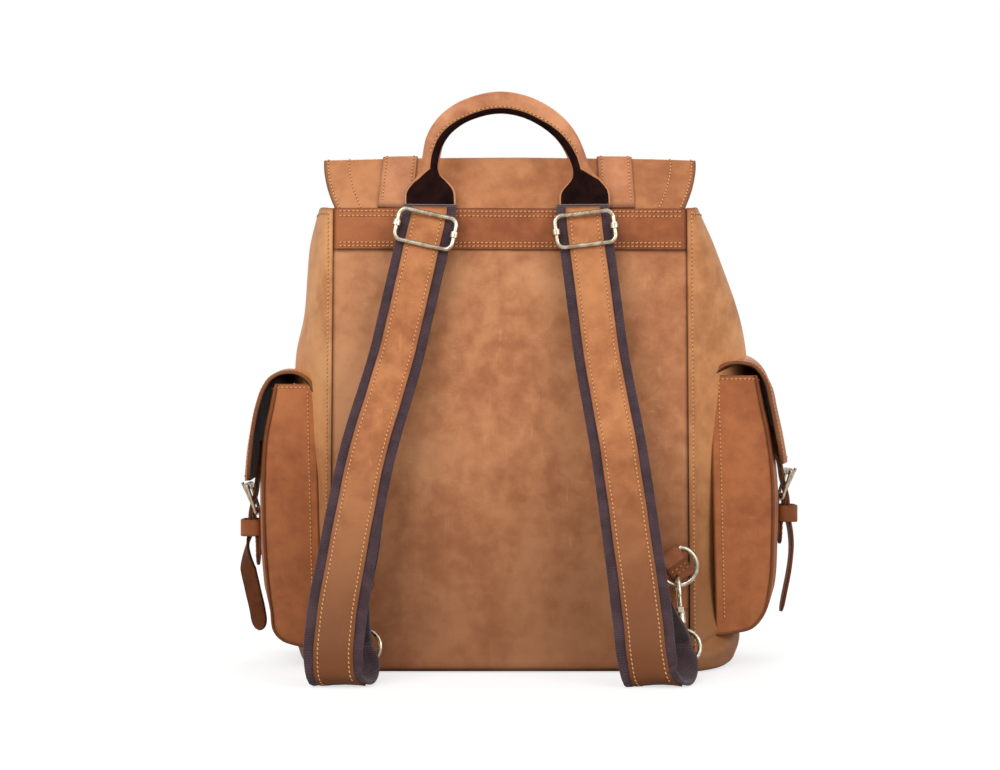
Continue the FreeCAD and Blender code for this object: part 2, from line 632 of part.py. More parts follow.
patches = []
for side, s in SIDES.items():
    (frame, bar, loop), centre, down, out = slider_pieces(side)
    save("slider_frame_" + side, frame)
    save("slider_bar_" + side, bar)
    save("strap_webbing_" + side, ribbon(front_route[side]))
    facing_offset = (web_thick + facing_thick) / 2 + facing_gap
    stations = front_route[side][:facing_stations]
    points = [V(*p[:3]) for p in stations]
    lead = sheet_frame(points, 3)[2]
    toward = -1 if lead.y > 0 else 1
    save("strap_facing_" + side,
         ribbon(stations, -toward * facing_offset, facing_width, facing_thick))
    bar_centre = centre - out * return_gap
    behind = []
    for i in (3, 4):
        points = [V(*p[:3]) for p in front_route[side]]
        back = sheet_frame(points, i)[2] * toward
        p = points[i] - back * return_gap
        behind.append((p.x, p.y, p.z, web_width - 2, return_thick))
    lower = bar_centre + down * 3.0
    straight = V(*front_route[side][2][:3]) - out * return_gap
    top = [(lower.x, lower.y, lower.z, web_width - 4, return_thick),
           (straight.x, straight.y, straight.z, web_width - 2, return_thick)]
    route = top + behind + return_route[side][::-1]
    save("strap_return_" + side, ribbon(route).fuse(loop))
    eye, hook, gate = chain(side)
    save("swivel_eye_" + side, eye)
    save("snap_hook_" + side, hook)
    save("hook_gate_" + side, gate)
    ring, fold = corner_ring(side)
    save("corner_ring_" + side, ring)
    patch_x = seam_x + 4
    patch = prism([V(s * patch_x, back_y, 32), V(s * patch_x, back_y, 118),
                   V(s * (patch_x - 34), back_y, 106), V(s * (patch_x - 50), back_y, 60)],
                  V(0, -yoke_thick, 0))
    patches.append(patch.fuse(fold))
save("anchor_patches", Part.makeCompound(patches))
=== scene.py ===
import math

import bpy
import mathutils
import numpy as np
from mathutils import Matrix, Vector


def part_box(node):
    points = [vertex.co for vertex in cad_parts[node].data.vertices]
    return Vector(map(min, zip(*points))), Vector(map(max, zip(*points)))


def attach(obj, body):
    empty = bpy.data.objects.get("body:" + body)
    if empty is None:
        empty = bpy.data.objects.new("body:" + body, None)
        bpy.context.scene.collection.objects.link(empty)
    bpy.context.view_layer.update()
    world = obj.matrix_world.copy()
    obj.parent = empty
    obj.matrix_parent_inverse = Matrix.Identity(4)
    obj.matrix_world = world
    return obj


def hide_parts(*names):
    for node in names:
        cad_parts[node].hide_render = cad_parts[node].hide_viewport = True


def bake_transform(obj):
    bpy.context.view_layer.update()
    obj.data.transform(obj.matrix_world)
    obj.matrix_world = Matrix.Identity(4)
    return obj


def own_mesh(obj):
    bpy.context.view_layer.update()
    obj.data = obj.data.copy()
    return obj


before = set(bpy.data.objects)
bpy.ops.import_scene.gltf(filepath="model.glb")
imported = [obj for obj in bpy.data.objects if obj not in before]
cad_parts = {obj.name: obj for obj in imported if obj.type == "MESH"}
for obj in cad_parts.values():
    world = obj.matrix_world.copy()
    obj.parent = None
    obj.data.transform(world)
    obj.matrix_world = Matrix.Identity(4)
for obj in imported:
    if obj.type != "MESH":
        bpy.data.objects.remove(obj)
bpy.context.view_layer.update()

# ---------------------------------------------------------------------------------------
# Camera, lamps and floor. The bag stands with its back to the camera, which looks level
# at its middle from about 1.4 m, in a white studio with broad soft lamps.
camera_place = (-0.008, -1.475, 0.2296)
camera_lens = 63.0
scene = bpy.context.scene
scene.view_settings.view_transform = "Standard"
camera = bpy.data.objects.new("camera", bpy.data.cameras.new("camera"))
camera.data.lens = camera_lens
camera.data.sensor_width = 36.0
camera.location = camera_place
camera.rotation_euler = (math.pi / 2, 0.0, 0.0)
scene.collection.objects.link(camera)
scene.camera = camera

for lamp_name, lamp_place, lamp_size, watts in (
        ("key", (-0.9, -1.5, 1.35), 1.3, 20.0),
        ("fill", (1.3, -1.4, 0.95), 1.4, 14.0),
        ("back", (0.2, 1.6, 1.6), 1.4, 12.0)):
    lamp = bpy.data.objects.new("lamp_" + lamp_name, bpy.data.lights.new(lamp_name, "AREA"))
    lamp.data.size = lamp_size
    lamp.data.energy = watts
    lamp.location = lamp_place
    aim = mathutils.Vector((0.0, 0.0, 0.22)) - mathutils.Vector(lamp_place)
    lamp.rotation_euler = aim.to_track_quat("-Z", "Y").to_euler()
    scene.collection.objects.link(lamp)


class Number:
    """A number socket of a material, on which Python arithmetic adds Math nodes."""

    def __init__(self, finish, socket):
        self.finish = finish
        self.socket = socket

    def math(self, operation, *others):
        node = self.finish.node("ShaderNodeMath", {"operation": operation},
                                dict(enumerate((self,) + others)))
        return Number(self.finish, node.outputs[0])

    def __add__(self, other):
        return self.math("ADD", other)

    def __mul__(self, other):
        return self.math("MULTIPLY", other)

    def __rsub__(self, other):
        return self * -1.0 + other

    def step(self, low, high):
        """0 below low, 1 above high, smooth between."""
        node = self.finish.node("ShaderNodeMapRange", {"interpolation_type": "SMOOTHSTEP"},
                                {"Value": self, "From Min": low, "From Max": high})
        return Number(self.finish, node.outputs[0])


class Finish:
    """One material or world, built node by node. Inputs are values, sockets or Numbers."""

    def __init__(self, name, kind="materials"):
        self.material = getattr(bpy.data, kind).new(name)
        self.material.use_nodes = True
        self.tree = self.material.node_tree
        self.tree.nodes.clear()

    def node(self, kind, settings=None, inputs=None):
        node = self.tree.nodes.new(kind)
        for key, value in (settings or {}).items():
            setattr(node, key, value)
        for key, value in (inputs or {}).items():
            if isinstance(value, Number):
                value = value.socket
            if isinstance(value, bpy.types.NodeSocket):
                self.tree.links.new(value, node.inputs[key])
            else:
                node.inputs[key].default_value = value
        return node

    def place(self, scale=(1.0, 1.0, 1.0), source="Object", turn=(0.0, 0.0, 0.0)):
        """Object or UV coordinates in metres, scaled and turned."""
        start = self.node("ShaderNodeTexCoord").outputs[source]
        mapping = self.node("ShaderNodeMapping", None,
                            {"Vector": start, "Scale": scale, "Rotation": turn})
        return mapping.outputs[0]

    def noise(self, where, scale, detail=3.0, roughness=0.5, distortion=0.0):
        node = self.node("ShaderNodeTexNoise", None,
                         {"Vector": where, "Scale": scale, "Detail": detail,
                          "Roughness": roughness, "Distortion": distortion})
        return Number(self, node.outputs[0])

    def height(self, where):
        parts = self.node("ShaderNodeSeparateXYZ", None, {"Vector": where})
        return Number(self, parts.outputs["Z"])

    def attribute(self, name):
        node = self.node("ShaderNodeAttribute", {"attribute_name": name})
        return Number(self, node.outputs["Fac"])

    def mix(self, factor, a, b):
        """A colour between a and b."""
        node = self.node("ShaderNodeMix", {"data_type": "RGBA"}, {0: factor, 6: a, 7: b})
        return node.outputs[2]

    def bump(self, height, distance, strength=1.0):
        node = self.node("ShaderNodeBump", None, {"Height": height, "Distance": distance,
                                                  "Strength": strength})
        return node.outputs[0]

    def surface(self, **inputs):
        """The shader that all the rest feeds."""
        shader = self.node("ShaderNodeBsdfPrincipled", None,
                           {key.replace("_", " "): value for key, value in inputs.items()})
        self.node("ShaderNodeOutputMaterial", None, {"Surface": shader.outputs[0]})
        return self.material


def rgb(red, green, blue):
    """A colour written as 0 to 255 display values, as the linear one that shaders need."""
    values = np.array([red, green, blue]) / 255.0
    linear = np.where(values <= 0.04045, values / 12.92, ((values + 0.055) / 1.055) ** 2.4)
    return (*[float(x) for x in linear], 1.0)


# the world: soft white for the object, plain white where the camera sees it, directly or
# through glass, and half way between for gloss
studio = Finish("studio", "worlds")
scene.world = studio.material
rays = studio.node("ShaderNodeLightPath").outputs
seen = Number(studio, rays["Is Camera Ray"]).math("MAXIMUM", rays["Is Transmission Ray"])
seen_too = seen.math("MAXIMUM", Number(studio, rays["Is Glossy Ray"]) * 0.5)
strength = studio.node("ShaderNodeMapRange", None,
                       {"Value": seen_too, "To Min": 0.55, "To Max": 1.0}).outputs[0]
sky = studio.node("ShaderNodeBackground", None,
                  {"Strength": strength, "Color": (1.0, 1.0, 1.0, 1.0)}).outputs[0]
studio.node("ShaderNodeOutputWorld", None, {"Surface": sky})

floor_half = 6.0
floor_z = -0.0006
floor_finish = Finish("floor_paper")
floor_place = floor_finish.node("ShaderNodeTexCoord").outputs["Object"]
spread = floor_finish.node("ShaderNodeVectorMath", {"operation": "LENGTH"},
                           {0: floor_place}).outputs["Value"]
far = Number(floor_finish, spread).step(0.35, 1.1)
floor_rays = floor_finish.node("ShaderNodeLightPath")
camera_ray = Number(floor_finish, floor_rays.outputs["Is Camera Ray"])
glossy_ray = Number(floor_finish, floor_rays.outputs["Is Glossy Ray"])
paper = floor_finish.node("ShaderNodeBsdfPrincipled", None, {
    "Base Color": (0.42, 0.42, 0.42, 1.0), "Roughness": 0.9,
    "Emission Color": (1.0, 1.0, 1.0, 1.0),
    "Emission Strength": camera_ray * 0.66 + glossy_ray * 0.2})
white = floor_finish.node("ShaderNodeEmission", None, {"Strength": 1.0})
floor_mix = floor_finish.node("ShaderNodeMixShader", None, {
    0: far * camera_ray, 1: paper.outputs[0], 2: white.outputs[0]})
floor_finish.node("ShaderNodeOutputMaterial", None, {"Surface": floor_mix.outputs[0]})
floor_mesh = bpy.data.meshes.new("floor")
floor_corners = [(x * floor_half, y * floor_half, floor_z)
                 for x, y in ((-1, -1), (1, -1), (1, 1), (-1, 1))]
floor_mesh.from_pydata(floor_corners, [], [(0, 1, 2, 3)])
floor = bpy.data.objects.new("floor", floor_mesh)
floor.data.materials.append(floor_finish.material)
scene.collection.objects.link(floor)

# ---------------------------------------------------------------------------------------
# Back panel. One flat piece of oiled cowhide, 2 mm thick, whose surface is waxed and
# brushed so that it shows lighter scuffs and darker rubbed patches. Its four sides are
# caught under the gussets, the yoke and the base.
MM = 0.001


def darker(colour, share):
    """A colour whose light is cut down to a share."""
    return tuple(x * share for x in colour[:3]) + (1.0,)


def leather(name, colour, dark, light, patch=1.0, foot=0.0, gloss=0.28):
    """Oiled leather: cloudy darker and lighter patches, fine scuffs that follow no grain,
    a pebbled surface, and burnished edges where the mesh's edge attribute is 1.

    patch is the strength of the lighter patches, foot that of the painted shade towards the
    foot of the bag, which darkens it there as if lit from above, and gloss that of the
    surface's reflection."""
    f = Finish(name)
    where = f.place()
    clouds = f.noise(where, 11.0, 4.0, 0.55, 0.4)
    spots = f.noise(where, 75.0, 5.0, 0.6, 0.2)
    streaks = f.noise(f.place((1.0, 1.0, 0.12), turn=(0.0, 0.5, 0.0)), 260.0, 4.0, 0.6, 1.2)
    hairs = f.noise(f.place((0.10, 1.0, 1.0), turn=(0.0, 0.35, 0.3)), 420.0, 3.0, 0.6, 1.6)
    marks = streaks.step(0.60, 0.74) + hairs.step(0.63, 0.74)
    edge = f.attribute("edge")
    shade = (clouds * 0.5 + spots * 0.5).step(0.32, 0.66)
    low = f.mix(shade, dark, colour)
    high = f.mix(clouds.step(0.45, 0.75) * (0.45 * patch), low, light)
    scuffed = f.mix(marks * spots.step(0.35, 0.6) * 0.42, high, light)
    # painted shade: towards the floor the leather darkens by the share foot, as if lit from above
    near_foot = 1 - f.height(where).step(0.015, 0.23)
    painted_foot_shade = f.mix(near_foot * foot, scuffed, darker(dark, 0.5))
    burnt = f.mix(edge * 0.72, painted_foot_shade, darker(dark, 0.35))
    pores = f.node("ShaderNodeTexVoronoi", {"feature": "F1"},
                   {"Vector": where, "Scale": 820.0})
    pebble = Number(f, pores.outputs[0])
    fine = f.noise(where, 1900.0, 2.0)
    height = pebble * 0.5 + fine * 0.25 + spots * 0.9 + marks * 0.35
    return f.surface(Base_Color=burnt, Roughness=spots * 0.22 + shade * -0.06 + 0.46,
                     Normal=f.bump(height, 0.00022, 0.55), IOR=1.45,
                     Specular_IOR_Level=gloss, Coat_Weight=0.03, Coat_Roughness=0.4)


BACK = leather("back_leather", rgb(206, 140, 94), rgb(168, 104, 66), rgb(226, 166, 118), foot=0.55)


def clamp(values):
    """Each value, held between 0 and 1."""
    return np.clip(values, 0.0, 1.0)


def unit(vectors):
    """Each vector divided by its length."""
    return vectors / np.maximum(np.linalg.norm(vectors, axis=-1, keepdims=True), 1e-12)


def set_mesh(name, points, faces, finish, uv=None, edge=None):
    """A mesh object from points and faces, smooth, with its UV in metres and edge mask."""
    mesh = bpy.data.meshes.new(name)
    mesh.from_pydata(np.asarray(points, float).tolist(), [], faces)
    if uv is not None:
        layer = mesh.uv_layers.new(name="UVMap")
        corner = np.zeros(len(mesh.loops), np.int32)
        mesh.loops.foreach_get("vertex_index", corner)
        layer.data.foreach_set("uv", np.asarray(uv, np.float32)[corner].ravel())
    if edge is not None:
        mesh.attributes.new("edge", "FLOAT", "POINT").data.foreach_set(
            "value", np.asarray(edge, np.float32).ravel())
    mesh.polygons.foreach_set("use_smooth", np.ones(len(mesh.polygons), bool))
    mesh.materials.append(finish)
    mesh.update()
    piece = bpy.data.objects.new(name, mesh)
    scene.collection.objects.link(piece)
    return piece


def grid_faces(rows, columns, around=False):
    """Four-sided faces of a grid; around joins the last column to the first."""
    index = np.arange(rows * columns).reshape(rows, columns)
    if around:
        index = np.hstack([index, index[:, :1]])
    return np.stack([index[:-1, :-1], index[:-1, 1:], index[1:, 1:], index[1:, :-1]],
                    -1).reshape(-1, 4).tolist()


def grid_lengths(points):
    """UV in metres: how far each point lies along its row and its column."""
    across = np.linalg.norm(np.diff(points, axis=1), axis=2)
    down = np.linalg.norm(np.diff(points, axis=0), axis=2)
    u = np.hstack([np.zeros((len(points), 1)), np.cumsum(across, 1)])
    v = np.vstack([np.zeros((1, points.shape[1])), np.cumsum(down, 0)])
    return np.stack([u, v], -1)


def panel(name, shape, u, v, finish, thickness, inside, rim=4.0 * MM,
          dark_rows=(1, 1, 1, 1), back=None):
    """A sheet of leather: shape(u, v) on a grid, given its thickness towards inside.

    The edge mask falls off over rim from the sides that dark_rows names: the first and
    last u, then the first and last v. back is the finish of its inner side, where that
    is another one."""
    uu, vv = np.meshgrid(u, v)
    points = shape(uu, vv)
    lengths = grid_lengths(points)
    from_ends = lengths[:, -1:, 0] - lengths[..., 0], lengths[-1:, :, 1] - lengths[..., 1]
    gaps = [lengths[..., 0], from_ends[0], lengths[..., 1], from_ends[1]]
    near = np.full(points.shape[:2], 1.0)
    for gap, on in zip(gaps, dark_rows):
        if on:
            near = np.minimum(near, gap / rim)
    edge = clamp(1.0 - near) ** 2
    normals = np.cross(np.gradient(points, axis=1), np.gradient(points, axis=0))
    outward = points - np.asarray(inside)
    faces = grid_faces(*points.shape[:2])
    if (normals * outward).sum() < 0.0:
        faces = [face[::-1] for face in faces]
    piece = set_mesh(name, points.reshape(-1, 3), faces, finish, lengths.reshape(-1, 2), edge)
    if thickness:
        wall = piece.modifiers.new("wall", "SOLIDIFY")
        wall.thickness = thickness
        wall.offset = -1.0
        wall.use_even_offset = False
    if back:
        piece.data.materials.append(back)
        wall.material_offset = 1
    return piece


def spaced(low, high, step):
    """Evenly spaced values from low to high, about step apart."""
    return np.linspace(low, high, max(2, int(round(abs(high - low) / step)) + 1))


def hermite(levels, values, at):
    """A smooth curve through values at levels: cubic between, with mean slopes."""
    levels, values = np.asarray(levels, float), np.asarray(values, float)
    slopes = np.gradient(values, levels)
    i = np.clip(np.searchsorted(levels, at) - 1, 0, len(levels) - 2)
    span = levels[i + 1] - levels[i]
    t = clamp((at - levels[i]) / span)
    return ((2 * t ** 3 - 3 * t ** 2 + 1) * values[i] + (t ** 3 - 2 * t ** 2 + t) * span * slopes[i]
            + (3 * t ** 2 - 2 * t ** 3) * values[i + 1] + (t ** 3 - t ** 2) * span * slopes[i + 1])


def ripple(a, b, seed, size=1.0):
    """Slow unevenness of hand-cut leather: the mean of seven sines across a and b, whose
    directions, phases and wavelengths come from the seed."""
    rng = np.random.default_rng(seed)
    total = 0.0
    for _ in range(7):
        turn, phase = rng.uniform(0.0, 2 * math.pi, 2)
        wave = 2 * math.pi / (rng.uniform(0.05, 0.19) * size)
        total = total + np.sin((a * math.cos(turn) + b * math.sin(turn)) * wave + phase)
    return total / 7.0


body_low, body_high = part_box("back_panel")
mouth_z = body_high.z
back_y = body_low.y
seam_x = body_high.x + 1.0 * MM
base_round = 5.0 * MM


def tuck(z):
    """How far a wall draws in as it turns under at the base."""
    share = clamp((base_round - z) / base_round)
    return base_round * (1.0 - np.sqrt(1.0 - share ** 2))


def back_shape(x, z):
    """The back panel: nearly flat, a little cushioned, hollow where the gussets hold it."""
    middle = clamp(1.0 - (np.abs(x) / seam_x) ** 4)
    y = back_y - 1.8 * MM * middle - 0.9 * MM * ripple(x, z, 11) * middle + tuck(z)
    return np.stack([x, y, z], -1)


back_panel = panel("back_panel_leather", back_shape,
                   spaced(-seam_x - 3 * MM, seam_x + 3 * MM, 4 * MM),
                   spaced(0.6 * MM, mouth_z, 4 * MM), BACK, 2.0 * MM, (0, 0, 0.2))
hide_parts("back_panel")
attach(back_panel, "root")

# ---------------------------------------------------------------------------------------
# Side gussets. Each side is one long piece of the same hide. It is turned over the edges
# of the back and front panels, stitched down close to the turn, and slumps outwards with
# what the bag holds.
SIDE = {"left": -1.0, "right": 1.0}
GUSSET = leather("gusset_leather", rgb(220, 154, 100), rgb(182, 118, 72), rgb(236, 178, 122), foot=0.8)
flange = 4.0 * MM
flange_lift = 1.9 * MM
back_half = 148.2 * MM
front_half = 140.0 * MM
# how far out each side stands, at shares of the bag's height
bulge_levels = np.array([0.0, 0.05, 0.12, 0.4, 0.7, 0.81, 0.92, 1.0]) * mouth_z
bulge = {"left": np.array([172, 178, 174, 177, 178, 170, 166, 158]) * MM,
         "right": np.array([186, 193, 188, 194, 197, 189, 172, 155]) * MM}
# how squarely a side swells out, as a power, at heights in metres
swell_levels = np.array([0.0, 0.012, 0.034, 0.235, 0.3, 0.371])
swell_powers = np.array([0.6, 0.7, 1.25, 1.35, 0.75, 0.62])
yoke_foot = 332.0 * MM
thread_step = 3.4 * MM
thread_lift = 0.05 * MM
THREAD = Finish("waxed_thread")
thread_twist = THREAD.noise(THREAD.place(), 2400.0, 2.0)
thread_tone = THREAD.mix(thread_twist, rgb(206, 132, 70), rgb(248, 186, 122))
# painted shade: where the edge attribute marks a thread's ends, as they go down into the leather, it darkens
# towards rgb(96, 50, 24)
THREAD = THREAD.surface(Base_Color=THREAD.mix(THREAD.attribute("edge"), thread_tone, rgb(96, 50, 24)),
                        Roughness=0.6)


def front_y(z):
    """The front leans back a little towards the mouth."""
    return (75.0 - 20.0 * z / mouth_z) * MM


def gusset_shape(side):
    """Half ellipse in plan between the two panels, with a flat turned edge at each end.

    u runs from -1 to 0 over the back flange, 0 to 1 round the side, 1 to 2 on the front."""
    sign = SIDE[side]

    def shape(u, z):
        half_back = back_half - 3.0 * MM * z / mouth_z
        wide = hermite(bulge_levels, bulge[side], z)
        over_yoke = 1.2 * MM * clamp((z - yoke_foot) / (8 * MM))
        y0, y1 = back_y - flange_lift - over_yoke, front_y(z) + flange_lift
        c = np.cos(math.pi * clamp(u))
        swell = clamp(1.0 - c ** 2) ** hermite(swell_levels, swell_powers, z)
        ends = half_back * (1 + c) / 2 + front_half * (1 - c) / 2
        sag = 2.2 * MM * ripple(u * 0.16, z, 23 + int(sign), 0.8) * swell
        # a slanting crumple near the foot: a crease with a ridge below it
        fold_z = (15.0 + 38.0 * u) * MM
        fold_reach = np.exp(-((u - 0.19) / 0.13) ** 2)
        crease = np.exp(-((z - fold_z) / (3.4 * MM)) ** 2) * fold_reach
        ridge = np.exp(-((z - fold_z + 7 * MM) / (5 * MM)) ** 2) * fold_reach
        dent = (-5.0 * crease + 3.0 * ridge) * MM * (1.0 if sign > 0 else 0.5)
        x = ends + (wide - ends) * swell + sag + dent
        x = x + np.clip(u, -1.0, 0.0) * flange - clamp(u - 1.0) * flange
        y = (y0 + y1) / 2 - (y1 - y0) / 2 * c
        y = y + 0.8 * MM * clamp(-u) ** 2 - 0.8 * MM * clamp(u - 1) ** 2
        inward = tuck(z)
        rise = 3.0 * MM * swell * clamp((z - 0.75 * mouth_z) / (0.25 * mouth_z))
        return np.stack([sign * (x - inward * clamp(swell * 3)),
                         y + inward * np.clip(c, -1.0, 1.0), z + rise], -1)

    return shape


def along(shape, u, v, inside, lift=thread_lift):
    """Points of a surface along a line of (u, v), raised by lift, and its normals there,
    which look away from the place inside."""
    u, v = np.broadcast_arrays(np.asarray(u, float), np.asarray(v, float))
    step = 1e-4
    points = shape(u, v)
    normal = unit(np.cross(shape(u + step, v) - points, shape(u, v + step) - points))
    flip = np.sign((normal * (points - np.asarray(inside))).sum(-1, keepdims=True))
    normal = normal * np.where(flip == 0, 1.0, flip)
    return points + normal * lift, normal


def run_length(points):
    """How far along a line each of its points lies."""
    return np.concatenate([[0.0], np.cumsum(np.linalg.norm(np.diff(points, axis=0), axis=1))])


def between(at, levels, points):
    """Places found straight between points, which lie at levels."""
    return np.stack([np.interp(at, levels, column) for column in np.transpose(points)], -1)


def resample(points, normals, step):
    """Places a step apart along a line, with the line's direction and normal there."""
    length = run_length(points)
    count = max(1, int(length[-1] / step))
    at = (np.arange(count) + 0.5) * length[-1] / count
    ahead = between(at + step * 0.2, length, points)
    behind = between(at - step * 0.2, length, points)
    return between(at, length, points), unit(ahead - behind), unit(between(at, length, normals))


def stitch_mesh(name, lines):
    """One mesh of short rounded threads along every line, each darkened at its ends, where it
    goes down into the leather, as painted shade. A ring of a thread is: place along it,
    girth, height."""
    long, thick, slant, sides = 2.7 * MM, 0.5 * MM, 0.22, 6
    half_rings = [(-0.58, 0.12, -0.75), (-0.54, 0.9, 0.0), (-0.42, 1.0, 0.1),
                  (-0.36, 1.0, 0.3), (-0.15, 1.0, 0.45)]
    rings = half_rings + [(-t, r, h) for t, r, h in half_rings[::-1]]
    hole_shade = np.repeat([1.0, 1.0, 1.0, 0.0, 0.0, 0.0, 0.0, 1.0, 1.0, 1.0], sides)
    around = np.arange(sides) * math.pi / 3
    one = np.array([(t * long, math.cos(a) * r * thick, math.sin(a) * r * thick * 0.8 + h * thick)
                    for t, r, h in rings for a in around])
    faces = np.array(grid_faces(len(rings), sides, around=True))
    points, all_faces = [], []
    for line_points, line_normals in lines:
        place, ahead, normal = resample(line_points, line_normals, thread_step)
        side = unit(np.cross(normal, ahead))
        ahead = unit(ahead + side * slant)
        side = unit(np.cross(normal, ahead))
        made = (place[:, None] + one[None, :, :1] * ahead[:, None]
                + one[None, :, 1:2] * side[:, None] + one[None, :, 2:] * normal[:, None])
        start = sum(len(p) for p in points)
        offsets = start + np.arange(len(place))[:, None, None] * len(one)
        all_faces += (faces[None] + offsets).reshape(-1, 4).tolist()
        points.append(made.reshape(-1, 3))
    points = np.vstack(points)
    return set_mesh(name, points, all_faces, THREAD, edge=np.tile(hole_shade, len(points) // len(hole_shade)))


inside_bag = np.array([0.0, 0.0, 0.2])
gusset_u = np.concatenate([np.linspace(-1.0, -0.12, 8),
                           0.5 - 0.5 * np.cos(np.linspace(0.0, 1.0, 61) * math.pi),
                           np.linspace(1.12, 2.0, 8)])
gusset_z = np.concatenate([spaced(0.6 * MM, 60 * MM, 1.6 * MM)[:-1], spaced(60 * MM, mouth_z, 4 * MM)])
for side in SIDE:
    shape = gusset_shape(side)
    gusset = panel("gusset_leather_" + side, shape, gusset_u, gusset_z, GUSSET, 2.0 * MM,
                   inside_bag, rim=2.2 * MM, dark_rows=(1, 1, 0, 1))
    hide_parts("side_gusset_" + side)
    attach(gusset, "root")
    run_z = spaced(7 * MM, mouth_z - 2 * MM, 4 * MM)
    lines = [along(shape, at, run_z, inside_bag) for at in (-0.08, 1.08)]
    mouth_u = np.linspace(0.02, 0.98, 60)
    lines.append(along(shape, mouth_u, mouth_z - 5 * MM, inside_bag))
    sewn = stitch_mesh("gusset_stitches_" + side, lines)
    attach(sewn, "root")

# ---------------------------------------------------------------------------------------
# Front panel, base and lining. The front and base are the same hide; the lining is a
# plain brown cotton bag sewn in round the mouth.
LINING = Finish("cotton_lining")
cotton_uv = LINING.place(source="UV")
cotton_weave = LINING.node("ShaderNodeTexChecker", None, {"Vector": cotton_uv, "Scale": 1400.0})
cotton_tone = LINING.noise(LINING.place(), 40.0, 3.0)
LINING = LINING.surface(Base_Color=LINING.mix(cotton_tone, rgb(72, 52, 40), rgb(104, 78, 60)),
                        Roughness=0.9,
                        Normal=LINING.bump(cotton_weave.outputs["Fac"], 0.00015, 0.6))


def front_shape(x, z):
    """The front panel, a little full, under the turned edges of the gussets."""
    middle = clamp(1.0 - (np.abs(x) / front_half) ** 4)
    y = front_y(z) + 1.6 * MM * middle + 1.2 * MM * ripple(x, z, 31) * middle - tuck(z)
    return np.stack([x, y, z], -1)


front_panel = panel("front_panel_leather", front_shape,
                    spaced(-front_half + 2 * MM, front_half - 2 * MM, 4 * MM),
                    gusset_z, GUSSET, 2.0 * MM, inside_bag)
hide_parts("front_panel")
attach(front_panel, "root")


def outline(u, z):
    """The bag's outline at z: u goes from 0 to 1 round its right side, to 2 round its left."""
    right = gusset_shape("right")(clamp(u), z)
    left = gusset_shape("left")(clamp(2.0 - u), z)
    return np.where((u <= 1.0)[..., None], right, left)


def base_shape(u, t):
    """The base: rows of the bag's outline at the floor, drawn in to a line in the middle."""
    rim = outline(u, np.full_like(u, 0.6 * MM))
    rim[..., 1] *= 1.0 - t * 0.999
    rim[..., 0] *= 1.0 - t * 0.45
    rim[..., 2] = 0.5 * MM + 1.2 * MM * np.sin(t * math.pi / 2)
    return rim


base_u = np.concatenate([np.linspace(0.0, 1.0, 60), np.linspace(1.0001, 2.0, 60), [0.0]])
base_panel = panel("base_leather", base_shape, base_u, np.linspace(0.0, 1.0, 12), GUSSET, 0.0,
                   (0, 0, 0.1), dark_rows=(0, 0, 1, 0))
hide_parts("base_panel")
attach(base_panel, "root")

lining_gap = 3.2 * MM
lining_deep = mouth_z - 10 * MM


def lining_shape(u, t):
    """The lining: the bag's outline drawn in by a few millimetres, down to a flat floor."""
    z = np.clip(mouth_z - 6 * MM - t, 4 * MM, 1.0)
    wall = outline(u, z)
    drawn = 1.0 - lining_gap / np.linalg.norm(wall[..., :2], axis=-1, keepdims=True)
    wall[..., :2] *= drawn
    wall[..., 1] = np.clip(wall[..., 1], back_y + lining_gap, front_y(z) - lining_gap)
    past = clamp(t - lining_deep)[..., None] / 0.06
    wall[..., :2] *= 1.0 - np.clip(past, 0.0, 0.999)
    return wall


lining_t = np.concatenate([spaced(0.0, lining_deep, 9 * MM),
                           lining_deep + np.array([0.02, 0.04, 0.06])])
lining = panel("cotton_lining", lining_shape, base_u, lining_t, LINING, 0.0, (0, 0, 0.2),
               dark_rows=(0, 0, 0, 0))
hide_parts("lining")
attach(lining, "root")

# ---------------------------------------------------------------------------------------
# Yoke. A band of darker hide doubles the top of the back, where the straps, the handle
# and the lid are sewn in. Two rows of stitches hold it along each long edge.
YOKE = leather("yoke_leather", rgb(172, 100, 58), rgb(138, 74, 42), rgb(196, 122, 76), patch=0.7)
yoke_low, yoke_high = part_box("back_yoke")
yoke_half = 141.0 * MM
yoke_swell = 0.8 * MM


def yoke_shape(x, z):
    """The yoke band, rounded over along its lower edge."""
    share = (z - yoke_low.z) / (yoke_high.z - yoke_low.z)
    inner = clamp((yoke_half - np.abs(x)) / (9 * MM))
    rounded = np.sin(clamp(share) * math.pi) ** 0.7
    y = yoke_low.y - 0.3 * MM - 0.9 * MM * inner - yoke_swell * inner * rounded
    y = y - 0.4 * MM * ripple(x, z, 41)
    return np.stack([x, y, z + 0.7 * MM * ripple(x, z * 0, 42)], -1)


yoke = panel("yoke_band", yoke_shape, spaced(-yoke_half, yoke_half, 3 * MM),
             spaced(yoke_low.z - 0.5 * MM, yoke_high.z - 0.3 * MM, 1.5 * MM), YOKE, 2.4 * MM,
             inside_bag, rim=1.6 * MM)
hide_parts("back_yoke")
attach(yoke, "root")
yoke_x = spaced(-yoke_half + 4 * MM, yoke_half - 4 * MM, 4 * MM)
yoke_rows = [along(yoke_shape, yoke_x, z, inside_bag, 0.1 * MM)
             for z in (yoke_low.z + 2.4 * MM, yoke_low.z + 5.2 * MM,
                       yoke_high.z - 6.6 * MM, yoke_high.z - 2.8 * MM)]
yoke_stitches = stitch_mesh("yoke_stitches", yoke_rows)
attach(yoke_stitches, "root")

# ---------------------------------------------------------------------------------------
# Lid. One long piece of hide: sewn in behind the yoke's upper edge, it rises to a ridge,
# turns over it, covers the mouth and hangs down the front. A doubled margin is stitched
# down along both sides in two rows.
LID = leather("lid_leather", rgb(196, 130, 84), rgb(162, 100, 62), rgb(220, 158, 108), patch=1.2)
lid_low, lid_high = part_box("lid")
ridge_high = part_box("lid_root")[1]
lid_wall = 3.0 * MM
ridge_y = ridge_high.y - 0.4 * MM


